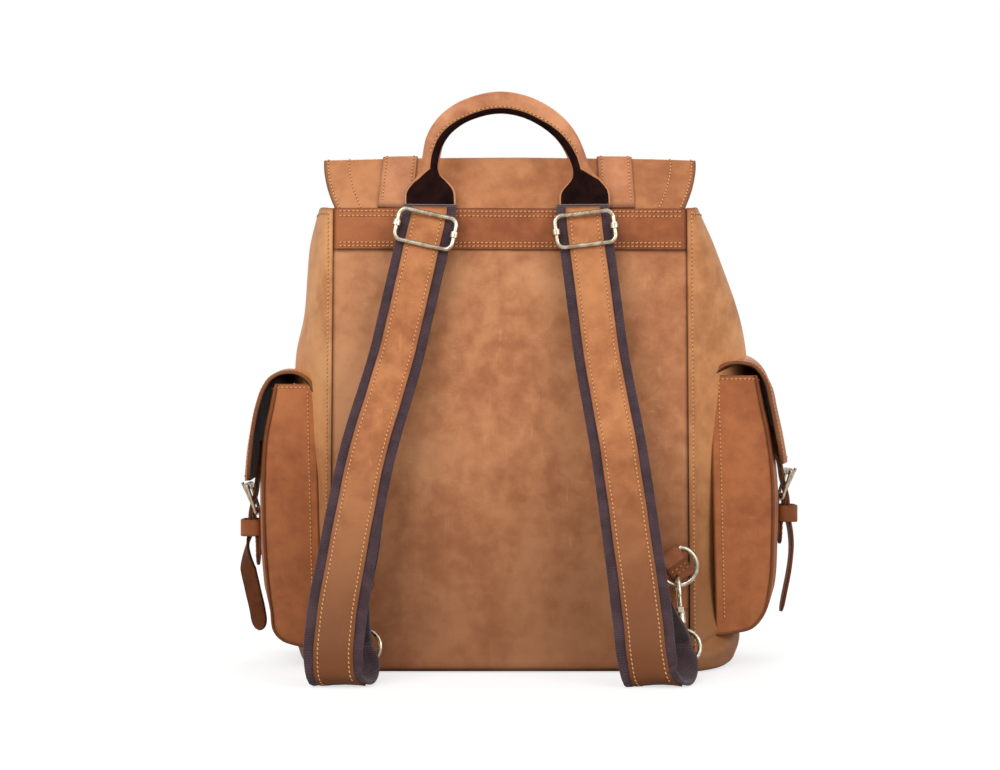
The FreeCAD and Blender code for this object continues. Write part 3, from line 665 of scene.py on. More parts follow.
def bent(corners, radii, step):
    """Points a step apart along runs through the corners, each rounded by its radius."""
    runs = [np.asarray(corners[0], float)[None]]
    for before, here, after, radius in zip(corners, corners[1:], corners[2:], radii):
        into, out = unit(np.subtract(here, before)), unit(np.subtract(after, here))
        turn = math.acos(float(np.clip(into @ out, -1.0, 1.0)))
        towards = unit(out - into)
        centre = here + towards * radius / math.cos(turn / 2)
        angles = np.linspace(-turn / 2, turn / 2, 13)[:, None]
        runs.append(centre + radius * (unit(into + out) * np.sin(angles) - towards * np.cos(angles)))
    runs.append(np.asarray(corners[-1], float)[None])
    line = np.vstack(runs)
    length = run_length(line)
    return between(spaced(0.0, length[-1], step), length, line)


lid_line = bent([(back_y - 2.6 * MM, mouth_z - 2.0 * MM), (ridge_y, ridge_high.z + 0.8 * MM),
                 (62.0 * MM, lid_high.z - 1.6 * MM), (lid_high.y, ridge_high.z - 80 * MM),
                 (lid_high.y, lid_low.z)], [3.5 * MM, 34 * MM, 62 * MM], 1.5 * MM)
lid_length = run_length(lid_line)
ridge_s = math.hypot(ridge_y - back_y, ridge_high.z - mouth_z)
lid_corner = 30.0 * MM


def lid_half(s):
    """Half width: flares from the seam to the ridge, and rounds off at the lower corners."""
    flare = 1.0 - clamp(s / ridge_s)
    left = np.clip(s - (lid_length[-1] - lid_corner), 0.0, lid_corner)
    return (lid_high.x - 12.5 * MM * flare ** 1.7
            - lid_corner + np.sqrt(np.maximum(lid_corner ** 2 - left ** 2, 0.0)))


def lid_shape(u, s):
    """The lid: u across from -1 to 1, s along it from the seam."""
    y = np.interp(s, lid_length, lid_line[:, 0])
    z = np.interp(s, lid_length, lid_line[:, 1])
    x = u * lid_half(s)
    near_ridge = np.exp(-((s - ridge_s) / (26 * MM)) ** 2)
    over = (clamp((s - ridge_s) / (40 * MM))
            * clamp((lid_length[-1] - s) / (60 * MM)))
    z = z + 2.6 * MM * (1.0 - u ** 2) * near_ridge - 1.5 * MM * (1.0 - u ** 2) * over
    z = z + 0.7 * MM * ripple(x, s, 51) * (0.3 + over)
    y = y + 0.8 * MM * ripple(x, s, 52) * (near_ridge * 0.4 + over)
    return np.stack([x, y, z], -1)


inside_lid = (0.0, 0.0, 0.30)
lid_u = spaced(-1.0, 1.0, 0.028)
lid_s = np.concatenate([lid_length[lid_length < lid_length[-1] - lid_corner][::3],
                        lid_length[-1] - lid_corner * (1 - np.sin(np.linspace(0.0, 1.0, 14) * math.pi / 2))])
lid = panel("lid_leather", lid_shape, lid_u, lid_s, LID, lid_wall, inside_lid, rim=2.4 * MM,
            dark_rows=(1, 1, 0, 1))
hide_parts("lid", "lid_root")
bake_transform(lid)
trim_s = spaced(2.5 * MM, lid_length[-1] - 8 * MM, 3 * MM)
trims = []
for inset in (3.5 * MM, 20.5 * MM):
    for sign in (-1.0, 1.0):
        run = trim_s[trim_s < lid_length[-1] - lid_corner * (1.0 if inset < 10 * MM else 0.6)]
        trims.append(along(lid_shape, sign * (1.0 - inset / lid_half(run)), run, inside_lid))
hem_u = np.linspace(-0.86, 0.86, 90)
trims.append(along(lid_shape, hem_u, lid_length[-1] - 4 * MM, inside_lid))
lid_stitches = stitch_mesh("lid_stitches", trims)
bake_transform(lid_stitches)

# ---------------------------------------------------------------------------------------
# Lid straps. Two flat straps sewn over the lid from its back seam, whose free ends run
# through roller buckles on the front. Each fastens to a short chape with a snap under it.
LIGHT = leather("light_leather", rgb(210, 144, 102), rgb(180, 116, 78), rgb(224, 168, 124), patch=0.8)
strap_wall = 2.5 * MM
strap_half = 14.0 * MM
straps_low, straps_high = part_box("lid_straps")


def strap_section(width, thick, flat_steps=8):
    """A flat strap's cross-sections with rounded corners: places across and through."""
    top = np.linspace(-1.0, 1.0, flat_steps)
    flat = np.concatenate([top, np.full(6, 1.0), top[::-1], np.full(6, -1.0)])
    turn = np.radians(np.concatenate([np.full(flat_steps, 90.0), [60, 30, 0, 0, -30, -60],
                                      np.full(flat_steps, -90.0), [-120, -150, 180, 180, 150, 120]]))
    upper = np.concatenate([np.ones(flat_steps + 3), -np.ones(flat_steps + 6), np.ones(3)])
    width, thick = width[:, None], thick[:, None]
    round_off = np.minimum(thick * 0.34, width * 0.3)
    across = flat * (width / 2 - round_off) + np.cos(turn) * round_off
    through = upper * (thick / 2 - round_off) + np.sin(turn) * round_off
    return across, through


def strap_axes(line, face):
    """The directions across a strap and out of its outer face, all along its line."""
    ahead = unit(np.gradient(line, axis=0))
    side = unit(np.cross(face, ahead))
    return side, np.cross(ahead, side)


def end_fans(rows, columns):
    """Triangles that close both ends of a tube's grid onto the two points after it."""
    here = np.arange(columns)
    after = np.roll(here, -1)
    last = (rows - 1) * columns
    tip = np.full(columns, rows * columns)
    return (np.stack([after, here, tip], -1).tolist()
            + np.stack([here + last, after + last, tip + 1], -1).tolist())


def strap(name, line, face, width, thick, finish, rim=1.6 * MM, point=0.0, cap=True):
    """A flat strap along a line of places, whose outer face looks along face there. Its
    last stretch narrows to a rounded point of that length."""
    side, out = strap_axes(line, face)
    width = np.broadcast_to(np.asarray(width, float), len(line)).copy()
    thick = np.broadcast_to(np.asarray(thick, float), len(line)).copy()
    length = run_length(line)
    if point:
        near = clamp((length - (length[-1] - point)) / point)
        width *= np.sqrt(np.clip(1.0 - near ** 2, 0.02, 1.0))
    across, through = strap_section(width, thick)
    points = line[:, None] + across[..., None] * side[:, None] + through[..., None] * out[:, None]
    rows, columns = across.shape
    uv = np.stack([across, np.broadcast_to(length[:, None], across.shape)], -1)
    near_side = 1.0 - (width[:, None] / 2 - np.abs(across)) / rim
    near_end = 1.0 - np.minimum(length, length[-1] - length)[:, None] / rim
    edge = clamp(np.maximum(near_side, near_end)) ** 1.5
    faces = grid_faces(rows, columns, around=True)
    points = points.reshape(-1, 3)
    uv = uv.reshape(-1, 2)
    edge = edge.ravel()
    if cap:
        points = np.vstack([points, line[:1], line[-1:]])
        uv = np.vstack([uv, uv[:1], uv[-1:]])
        edge = np.concatenate([edge, [1.0, 1.0]])
        faces += end_fans(rows, columns)
    return set_mesh(name, points, [corners[::-1] for corners in faces], finish, uv, edge)


def strap_rows(line, face, width, inset, lift):
    """The two stitch lines of a strap, each inset from one edge and lifted off its middle."""
    side, out = strap_axes(line, face)
    width = np.broadcast_to(np.asarray(width, float), len(line))
    return [(line + side * (sign * (width / 2 - inset))[:, None] + out * lift, out)
            for sign in (-1.0, 1.0)]


for side, sign in SIDE.items():
    middle = (straps_low.x if sign < 0 else straps_high.x) - sign * strap_half
    buckle_low, buckle_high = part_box("lid_roller_" + side)
    bar_y, bar_z = (buckle_low.y + buckle_high.y) / 2, (buckle_low.z + buckle_high.z) / 2
    on_lid = lid_length[(lid_length > 1 * MM) & (lid_length < lid_length[-1] - 1 * MM)][::4]
    lean = 3.0 * MM * sign * (1.0 - clamp(on_lid / ridge_s)) * (1.0 if sign < 0 else 0.3)
    spot, out = along(lid_shape, (middle + lean) / lid_half(on_lid), on_lid, inside_lid,
                      strap_wall / 2 - 0.3 * MM)
    free = bent([(spot[-1, 1], spot[-1, 2]), (bar_y - 5.6 * MM, lid_low.z - 3 * MM),
                 (bar_y - 5.4 * MM, bar_z + 2 * MM), (bar_y - 0.2 * MM, bar_z - 22 * MM),
                 (bar_y - 4.2 * MM, bar_z - 46 * MM), (bar_y - 5.4 * MM, straps_low.z)],
                [30 * MM, 14 * MM, 12 * MM, 40 * MM], 3 * MM)[1:]
    line = np.vstack([spot, np.column_stack([np.full(len(free), middle), free])])
    face = np.vstack([out, np.tile([0.0, 1.0, 0.0], (len(free), 1))])
    wide = np.where(np.arange(len(line)) < len(spot), 2 * strap_half, 19.0 * MM)
    soft = np.convolve(np.pad(wide, 3, mode="edge"), np.ones(7) / 7, mode="valid")
    over = strap("lid_strap_" + side, line, face, soft, strap_wall, LIGHT, point=9 * MM)
    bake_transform(over)
    if side == "left":
        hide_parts("lid_straps")
    rows = strap_rows(spot[1:-2], out[1:-2], 2 * strap_half, 3.2 * MM, strap_wall / 2)
    sewn = stitch_mesh("lid_strap_stitches_" + side, rows)
    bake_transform(sewn)

# ---------------------------------------------------------------------------------------
# Shoulder straps. Thick cotton webbing, sewn in under the yoke, with a narrower strip of
# hide stitched along its outer face. Each runs down to the floor, curls under, is gathered
# through the eye of its snap hook and comes back up behind itself to the slider.
WEB = Finish("cotton_webbing")
web_uv = WEB.place(source="UV")
ribs = Number(WEB, WEB.node("ShaderNodeTexWave", {"bands_direction": "Y"}, {
    "Vector": web_uv, "Scale": 190.0, "Distortion": 1.6, "Detail": 2.0,
    "Detail Scale": 2.5}).outputs["Fac"])
cords = Number(WEB, WEB.node("ShaderNodeTexWave", {"bands_direction": "X"}, {
    "Vector": web_uv, "Scale": 150.0, "Distortion": 0.8, "Detail": 1.0}).outputs["Fac"])
fuzz = WEB.noise(web_uv, 900.0, 4.0, 0.7)
wear = WEB.noise(web_uv, 55.0, 4.0, 0.6)
lint = fuzz.step(0.56, 0.72) * ribs
web_tone = WEB.mix(wear.step(0.3, 0.7), rgb(58, 36, 42), rgb(84, 58, 64))
web_lit = WEB.mix(lint * 0.5, web_tone, rgb(128, 104, 108))
# painted shade: the webbing darkens towards rgb(30, 18, 22) in the grooves between its ribs
WEB = WEB.surface(Base_Color=WEB.mix((1 - ribs) * 0.35, web_lit, rgb(30, 18, 22)), Roughness=0.92,
                  Normal=WEB.bump(ribs * 0.8 + cords * 0.5 + fuzz * 0.7, 0.00035, 0.9), Sheen_Weight=0.25)
FACING = leather("strap_leather", rgb(202, 130, 80), rgb(162, 96, 54), rgb(224, 158, 104),
                 patch=0.9, foot=0.95)
facing_wide = 28.0 * MM
facing_wall = 1.6 * MM
# middle of the front layer from the yoke to the eye, in mm: y, z, width and thickness,
# which both sides share, and x
front_profile = [(-80.5, 373, 42, 3), (-84, 366, 42.5, 3), (-88.4, 358, 43, 3),
                 (-90.1, 343.4, 43, 3), (-93.4, 314.2, 43, 3), (-96.8, 285, 43, 3),
                 (-100, 258, 43, 3), (-115, 178, 44, 3), (-131, 98, 45, 3),
                 (-142, 48, 46, 3), (-147.5, 22, 45, 3), (-146, 8.0, 43, 3),
                 (-138, 3.6, 40, 3), (-126, 4.0, 36, 3.2), (-115, 10, 30, 4),
                 (-107, 17.0, 22, 6), (-101, 22.6, 14, 8), (-94, 27.5, 13, 8)]
front_x = {"left": [-64, -64.2, -65.5, -68.8, -75.4, -82, -88, -110.5, -125.5, -133.0,
                    -134.5, -132.5, -127.5, -121, -116, -114, -115, -115],
           "right": [58, 58.1, 58.5, 60.3, 63.9, 67.5, 71, 84.5, 95, 101, 103.5, 107.0, 114,
                     123.5, 131.5, 135.5, 136, 136]}
# middle of the return layer, from the eye up to where it lies close behind the front
# layer, in mm: x, y, z, width and thickness
return_route = {
    "left": [(-115, -97, 27.0, 13, 8), (-116, -106, 38, 15, 6), (-121, -114, 52, 24, 3.5),
             (-126, -119, 70, 36, 2), (-125, -119.5, 90, 41, 1.7), (-120, -117.5, 112, 41, 1.7)],
    "right": [(136, -97, 27.0, 13, 8), (133, -106, 37, 14, 6), (122, -114, 47, 20, 4),
              (108, -119, 62, 34, 2), (99, -119.5, 84, 41, 1.7), (93.5, -117.5, 112, 41, 1.7)]}
return_wide, return_thick = 41 * MM, 1.7 * MM


def smooth_route(stations, step):
    """A smooth line through stations in mm, a step apart, in metres. What a station gives
    after its place, such as a width, goes along with it."""
    stations = np.asarray(stations, float) * MM
    length = run_length(stations[:, :3])
    at = spaced(0.0, length[-1], step)
    return np.stack([hermite(length, column, at) for column in stations.T], -1)


for side, sign in SIDE.items():
    body = "shoulder_strap_" + side
    route = smooth_route(np.column_stack([front_x[side], front_profile]), 3.0 * MM)
    line, wide, thick = route[:, :3], route[:, 3], route[:, 4]
    ahead = unit(np.gradient(line, axis=0))
    face = unit(np.cross(ahead, (1.0, 0.0, 0.0)))
    webbing = strap("webbing_" + side, line, face, wide, thick, WEB, rim=0.6 * MM)
    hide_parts("strap_webbing_" + side)
    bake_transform(webbing)
    # the facing: from the seam down to where the strap turns under on the floor
    length = run_length(line)
    low_at = int(np.argmin(line[:, 2]))
    keep = slice(1, low_at + 1)
    lift = thick[keep, None] / 2 + facing_wall / 2 - 0.15 * MM
    bow = 0.5 * MM * ripple(length[keep], length[keep] * 0, 60 + int(sign), 0.6)
    facing_line = line[keep] + face[keep] * lift + np.outer(bow, (1.0, 0.0, 0.0))
    facing_width = facing_wide * (1.0 + 0.09 * clamp((length[keep] - 0.12) / 0.25))
    facing = strap("strap_facing_leather_" + side, facing_line, face[keep], facing_width,
                   facing_wall, FACING, rim=1.1 * MM)
    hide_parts("strap_facing_" + side)
    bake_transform(facing)
    sewn = slice(2, low_at - 4)
    rows = strap_rows(facing_line[sewn], face[keep][sewn], facing_width[sewn], 3.4 * MM,
                      facing_wall / 2)
    stitches = stitch_mesh("strap_stitches_" + side, rows)
    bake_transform(stitches)
    # the return layer: from the eye up behind the front layer to the slider's bar
    bar_low, bar_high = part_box("slider_bar_" + side)
    below_bar = (bar_low.z + bar_high.z) / 2 - 9 * MM
    back = smooth_route(return_route[side], 3.0 * MM)
    top_at = int(np.argmin(np.abs(line[:, 2] - below_bar)))
    join_at = int(np.argmin(np.abs(line[:, 2] - 0.140)))
    behind = line[top_at:join_at][::-1] - face[top_at:join_at][::-1] * 4.6 * MM
    flat = np.column_stack([behind, np.full(len(behind), return_wide),
                            np.full(len(behind), return_thick)])
    whole = np.vstack([back, flat])
    wander = 1.2 * MM * ripple(np.arange(len(whole)) * 3 * MM, np.zeros(len(whole)), 70 + int(sign))
    return_line = whole[:, :3] + np.outer(wander, (1.0, 0.0, 0.0))
    smooth = np.stack([np.convolve(np.pad(column, 4, mode="edge"), np.ones(9) / 9, mode="valid")
                       for column in return_line.T], -1)
    ahead = unit(np.gradient(smooth, axis=0))
    back_face = unit(np.cross(ahead, (1.0, 0.0, 0.0)))
    returned = strap("webbing_return_" + side, smooth, back_face, whole[:, 3], whole[:, 4], WEB,
                     rim=0.6 * MM)
    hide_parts("strap_return_" + side)
    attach(returned, body)
    down = unit(line[top_at + 6] - line[top_at])
    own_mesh(returned)

# ---------------------------------------------------------------------------------------
# Metal. Bent and butt-jointed steel wire, nickel plated and rubbed back to a warm antique
# tone; snaps and hidden posts are plain bright steel.
NICKEL = Finish("antique_nickel")
metal_place = NICKEL.place()
tarnish = NICKEL.noise(metal_place, 160.0, 4.0, 0.6, 0.5)
specks = NICKEL.noise(metal_place, 900.0, 3.0, 0.6)
metal_tone = NICKEL.mix(tarnish.step(0.35, 0.68), rgb(176, 160, 134), rgb(228, 216, 196))
NICKEL = NICKEL.surface(Base_Color=NICKEL.mix(specks.step(0.58, 0.75) * 0.5, metal_tone, rgb(120, 104, 80)),
                        Metallic=1.0, Roughness=tarnish * 0.16 + specks * 0.10 + 0.13,
                        Normal=NICKEL.bump(specks + tarnish, 0.00002, 0.1))
STEEL = Finish("bright_steel")
steel_grain = STEEL.noise(STEEL.place((1.0, 1.0, 8.0)), 500.0, 3.0)
STEEL = STEEL.surface(Base_Color=STEEL.mix(steel_grain, rgb(172, 172, 172), rgb(212, 212, 210)),
                      Metallic=1.0,
                      Roughness=steel_grain * 0.15 + 0.2, Normal=STEEL.bump(steel_grain, 0.00008, 0.3))


def finish_node(node, finish):
    """Gives a CAD node its finish."""
    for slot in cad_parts[node].material_slots:
        slot.material = finish


metal_nodes = ["lid_buckles"]
for side in SIDE:
    metal_nodes += [name + side for name in (
        "slider_frame_", "slider_bar_", "swivel_eye_", "snap_hook_", "hook_gate_", "corner_ring_",
        "pocket_buckle_", "pocket_roller_", "pocket_prong_", "lid_roller_", "lid_prong_")]
for node in metal_nodes:
    finish_node(node, NICKEL)
for node in ("snap_sockets", "lid_snap_caps", "pocket_snap_cap_left", "pocket_snap_cap_right"):
    finish_node(node, STEEL)

# ---------------------------------------------------------------------------------------
# Handle. A strip of hide is rolled round a cord between two flat flared tabs, and backed
# with dark brown hide, which faces out on the tabs and runs up inside the arch. The
# backing's colour is darkened to near-black as painted shade, for the shade on the tabs.
HANDLE = leather("handle_leather", rgb(216, 148, 104), rgb(170, 104, 68), rgb(232, 172, 126),
                 patch=0.8)
SUEDE = Finish("dark_brown_lining")
suede_place = SUEDE.place()
suede_cloud = SUEDE.noise(suede_place, 90.0, 4.0, 0.6)
suede_nap = SUEDE.noise(suede_place, 1500.0, 3.0, 0.7)
# painted shade in part: the dark brown backing is made near-black, rgb(22, 8, 7) to rgb(42, 20, 17), for the
# shade that falls on the handle's tabs
SUEDE = SUEDE.surface(Base_Color=SUEDE.mix(suede_cloud.step(0.3, 0.75), rgb(22, 8, 7), rgb(42, 20, 17)),
                      Roughness=suede_nap * 0.15 + 0.8, Specular_IOR_Level=0.08,
                      Normal=SUEDE.bump(suede_nap + suede_cloud, 0.0002, 0.5))
# along the handle: x, y, z of its middle in mm, half sizes towards the arch's inside and
# towards the wearer, and how square its section is
handle_stations = [
    (-63.6, -79.5, 371.6, 20.8, 1.5, 8), (-63.7, -79.5, 377, 20.8, 1.5, 8),
    (-63.8, -79.5, 384.5, 20.0, 1.6, 7), (-64, -79.6, 390.5, 15.6, 2.2, 5),
    (-64.2, -79.7, 395.5, 10.4, 3.2, 3.6), (-64, -79.8, 401, 7.6, 5.0, 2.6),
    (-62.8, -79.8, 411, 7.2, 6.4, 2.3), (-59.5, -79.8, 425, 7.6, 7, 2.3),
    (-53, -79.6, 435.5, 8, 7.2, 2.3), (-42, -79.4, 445, 8.3, 7.3, 2.3),
    (-26, -79.3, 452, 8.5, 7.4, 2.3), (-8, -79.3, 455, 8.6, 7.4, 2.3),
    (11, -79.3, 452, 8.5, 7.4, 2.3), (27, -79.4, 444.5, 8.3, 7.3, 2.3),
    (39.5, -79.6, 434.5, 8, 7.2, 2.3), (47.5, -79.8, 424, 7.6, 7, 2.3),
    (53.5, -79.8, 410.5, 7.2, 6.4, 2.3), (56.6, -79.8, 400.5, 7.6, 5.0, 2.6),
    (58.0, -79.7, 395, 10.4, 3.2, 3.6), (58.8, -79.6, 390, 15.6, 2.2, 5),
    (59.3, -79.5, 384, 20.0, 1.6, 7), (59.5, -79.5, 377, 20.8, 1.5, 8),
    (59.6, -79.5, 371.6, 20.8, 1.5, 8)]
handle_stations = np.array(handle_stations) * np.array([MM, MM, MM, MM, MM, 1.0])
handle_reach = run_length(handle_stations[:, :3])


def handle_value(column, s):
    """One column of the handle's stations, smoothly between them, at lengths s along it."""
    return hermite(handle_reach, handle_stations[:, column], np.clip(s, 0.0, handle_reach[-1]))


def handle_shape(turn, s, lift=0.0):
    """The handle's skin: a section that changes along it from a flat tab to a round roll.

    turn is the angle round the section: 0 towards the arch's inside, 90 degrees towards
    the wearer. Each section is a superellipse."""
    x, y, z, half_in, half_out, square = (handle_value(i, s) for i in range(6))
    middle = np.stack([x, y, z], -1)
    step = 0.5 * MM
    ahead = unit(np.stack([handle_value(i, s + step) - handle_value(i, s - step)
                           for i in range(3)], -1))
    out = np.broadcast_to(np.array([0.0, -1.0, 0.0]), middle.shape)
    inward = unit(np.cross(ahead, out))
    out = np.cross(inward, ahead)
    c, d = np.cos(turn), np.sin(turn)
    a = np.sign(c) * np.abs(c) ** (2 / square) * (half_in + lift)
    b = np.sign(d) * np.abs(d) ** (2 / square) * (half_out + lift)
    return middle + a[..., None] * inward + b[..., None] * out


handle_s = spaced(0.0, handle_reach[-1], 2.5 * MM)
handle_sides = 48
turns = np.arange(handle_sides) * 2 * math.pi / handle_sides
uu, vv = np.meshgrid(turns, handle_s)
skin = handle_shape(uu, vv)
skin_uv = np.stack([uu * 8 * MM, vv], -1)
rows, columns = uu.shape
flatness = clamp((handle_value(3, vv) - 8.6 * MM) / (6 * MM))
rim_mask = flatness * clamp(1.4 - 2.2 * np.abs(np.sin(uu)))
ends = [skin[:1].mean(axis=1), skin[-1:].mean(axis=1)]
faces = grid_faces(rows, columns, around=True) + end_fans(rows, columns)
handle = set_mesh("handle_roll", np.vstack([skin.reshape(-1, 3)] + ends), faces, HANDLE,
                  np.vstack([skin_uv.reshape(-1, 2), [[0, 0], [0, 1]]]),
                  np.concatenate([rim_mask.ravel(), [1.0, 1.0]]))
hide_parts("handle_leather")
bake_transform(handle)
# the lining: all of a tab's face, then a strip that winds round to the inside of the arch
from_end = np.minimum(handle_s, handle_reach[-1] - handle_s)
up_tab = clamp((from_end - 20 * MM) / (10 * MM))
up_arch = clamp((from_end - 40 * MM) / (45 * MM))
low_turn = np.radians(46.0 - 14.0 * up_tab - 56.0 * up_arch)
high_turn = np.radians(134.0 - 46.0 * up_tab - 34.0 * up_arch)
share = np.linspace(0.0, 1.0, 15)
strip_turn = low_turn[:, None] + (high_turn - low_turn)[:, None] * share[None]
strip_s = np.broadcast_to(handle_s[:, None], strip_turn.shape)
inset = np.clip(strip_s, 1.2 * MM, handle_reach[-1] - 1.2 * MM)
strip_lift = 0.4 * MM * np.sin(clamp(share) * math.pi)[None] ** 0.3
strip_burnish = 0.3
strip = handle_shape(strip_turn, inset, strip_lift)
near_side = clamp(1.0 - 8.0 * np.minimum(share, 1.0 - share))
strip_edge = near_side[None] * np.ones((rows, 1)) * strip_burnish
lining_strip = set_mesh("handle_lining_strip", strip.reshape(-1, 3),
                        grid_faces(*strip.shape[:2]), SUEDE,
                        grid_lengths(strip).reshape(-1, 2), strip_edge)
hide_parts("handle_lining")
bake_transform(lining_strip)
arch = from_end > 42 * MM
seam_turn = high_turn[arch] + 0.16
seam_line = handle_shape(seam_turn, handle_s[arch], 0.1 * MM)
seam_out = unit(seam_line - handle_shape(seam_turn, handle_s[arch], -3 * MM))
handle_stitches = stitch_mesh("handle_stitches", [(seam_line, seam_out)])
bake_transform(handle_stitches)

# ---------------------------------------------------------------------------------------
# Side pockets. Each is a broad strip of hide that runs down its outside and under its
# base, sewn to two flat ends that face the wearer and the front. It leans out from its
# mouth and fills towards the middle.
POCKET = leather("pocket_leather", rgb(184, 110, 64), rgb(150, 84, 48), rgb(204, 130, 80),
                 patch=0.7, foot=0.2)
pocket_half = 52.0 * MM
# the outer edge of a pocket's flat end, from its mouth down and under, in mm: x and z
pocket_edge = {
    "left": [(190.5, 230.5), (193.5, 214), (198.5, 190), (200.8, 156), (200.5, 110), (198.6, 78),
             (194.8, 46), (191.5, 28), (185, 21.5), (175, 18), (164, 16), (150, 15)],
    "right": [(200.5, 237.5), (204.5, 216), (210, 190), (214, 157), (214.5, 104), (212, 64),
              (206.5, 42), (197, 31.5), (184, 28), (170, 26), (152, 26.5)]}
pocket_fill = {"left": 7.0 * MM, "right": 9.0 * MM}
end_seam = {"left": 157.5 * MM, "right": 163.0 * MM}


def pocket_wall_shape(side, line):
    """The outer strip: the end's outline carried across, fuller at mid depth."""
    sign = SIDE[side]
    length = run_length(line)

    def shape(y, s):
        x = np.interp(s, length, line[:, 0])
        z = np.interp(s, length, line[:, 1])
        full = 1.0 - (np.abs(y) / (pocket_half + 1.2 * MM)) ** 2.2
        outside = clamp((z - 24 * MM) / (40 * MM))
        x = x + pocket_fill[side] * full * outside + 1.0 * MM * ripple(y, z, 81 + int(sign)) * full
        z = z - 2.0 * MM * full * (1 - outside)
        return np.stack([sign * x, y, z], -1)

    return shape, length


def pocket_end_shape(side, line, facing):
    """A flat end: a runs from the seam on the gusset out to the outline, t down both. The
    seam is at its foot where t is seam_foot."""
    sign = SIDE[side]
    t_line = np.linspace(0.0, 1.0, len(line))
    seam_low = line[-1, 1]
    seam_foot = 0.86

    def shape(a, t):
        out_x = np.interp(t, t_line, line[:, 0])
        out_z = np.interp(t, t_line, line[:, 1])
        in_z = line[0, 1] + (seam_low - line[0, 1]) * clamp(t / seam_foot)
        lean = 5 * MM * (1 - clamp((in_z - 0.02) / 0.2)) * sign
        in_x = end_seam[side] + lean
        x = in_x + (out_x - in_x) * a
        z = in_z + (out_z - in_z) * a
        uneven = 0.9 * MM * ripple(x, z, 85 + int(sign + facing)) * a * (1 - a) * 4
        y = pocket_half + 0.8 * MM * np.sin(a * math.pi) + uneven
        return np.stack([sign * x, facing * y, z], -1)

    return shape


for side, sign in SIDE.items():
    line = smooth_route(pocket_edge[side], 3.0 * MM)
    shape, length = pocket_wall_shape(side, line)
    inside = (sign * 0.16, 0.0, 0.13)
    wall_half = pocket_half + 1.6 * MM
    wall = panel("pocket_wall_" + side, shape, spaced(-wall_half, wall_half, 3.5 * MM),
                 spaced(0.0, length[-1], 3.5 * MM), POCKET, 2.2 * MM, inside,
                 rim=1.6 * MM, dark_rows=(1, 1, 1, 0))
    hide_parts("side_pocket_" + side)
    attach(wall, "root")
    rows = [along(shape, spaced(-pocket_half, pocket_half, 3 * MM), 4 * MM, inside)]
    for facing in (-1.0, 1.0):
        end_shape = pocket_end_shape(side, line, facing)
        end = panel("pocket_end_%s_%s" % (side, "back" if facing < 0 else "front"), end_shape,
                    np.linspace(0.0, 1.0, 22), np.linspace(0.0, 1.0, 90), POCKET, 2.0 * MM,
                    inside, rim=2.0 * MM, dark_rows=(1, 0, 1, 0))
        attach(end, "root")
        rows.append(along(end_shape, np.linspace(0.12, 0.97, 30), 0.012, inside))
        seam_t = np.linspace(0.02, 0.8, 120)
        seam_a = 6.2 * MM / (end_shape(np.ones_like(seam_t), seam_t)[:, 0]
                             - end_shape(np.zeros_like(seam_t), seam_t)[:, 0]) * sign
        rows.append(along(end_shape, seam_a + 0.02, seam_t, inside))
    sewn = stitch_mesh("pocket_stitches_" + side, rows)
    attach(sewn, "root")

# ---------------------------------------------------------------------------------------
# Pocket flaps. One piece of hide sewn to the gusset, arched over the pocket's mouth and
# hanging down its outside over the billet. It opens by bending at the arch.
FLAP = leather("flap_leather", rgb(194, 126, 78), rgb(154, 90, 54), rgb(216, 150, 100), patch=0.9)
FLESH = leather("dark_leather", rgb(112, 62, 36), rgb(78, 42, 25), rgb(140, 82, 50), patch=0.5,
                gloss=0.04)
flap_half = 54.0 * MM
flap_straight = 0.86     # share of the flap's length above its rounded corners
# outer face of each flap at its ends and at mid depth, from the gusset out, in mm: x, z
flap_end_line = {
    "left": [(158, 225), (161, 232.5), (166, 237.5), (173.5, 241), (182, 241.5), (189, 240), (195, 236.5),
             (200.5, 229), (205.5, 215), (210, 192), (214.5, 151.5)],
    "right": [(162, 232), (166, 240.5), (171.5, 246), (180, 249), (190, 249), (198, 247), (204, 242),
              (209, 234), (214, 214), (218.5, 192), (224, 165)]}
flap_mid_line = {
    "left": [(171, 241), (176, 242.6), (182, 243.4), (188, 243.2), (194, 241), (200, 236), (204.7, 229.5),
             (208.5, 222), (215, 194), (219.3, 170), (221.3, 149.5)],
    "right": [(190, 254.5), (195, 255.3), (201, 253.8), (206.9, 250), (211, 246), (214, 241.5), (217, 234),
              (220.4, 225), (223.5, 209), (228, 190), (232.3, 166)]}


def flap_shape(side):
    """The flap between its two lines: lifted and carried out towards mid depth."""
    sign = SIDE[side]
    places = np.linspace(0.0, 1.0, 200)
    ends, mids = (between(places, np.linspace(0.0, 1.0, len(run)), run)
                  for run in (smooth_route(flap_end_line[side], 0.5 * MM),
                              smooth_route(flap_mid_line[side], 0.5 * MM)))

    def shape(v, t):
        full = 1.0 - np.abs(v) ** 2.3
        end = between(t, places, ends)
        mid = between(t, places, mids)
        far_drop = 7.0 * MM * clamp(v) ** 3 * clamp((0.62 - t) / 0.2)
        spot = end + (mid - end) * full[..., None] - np.stack([0 * far_drop, far_drop], -1)
        corner = clamp((t - flap_straight) / (1.0 - flap_straight))
        half = flap_half - 9.0 * MM * (1 - np.sqrt(clamp(1 - corner ** 2)))
        wave = 0.8 * MM * ripple(v * flap_half, t * 0.12, 91 + int(sign))
        return np.stack([sign * (spot[..., 0] + wave), v * half, spot[..., 1]], -1)

    return shape


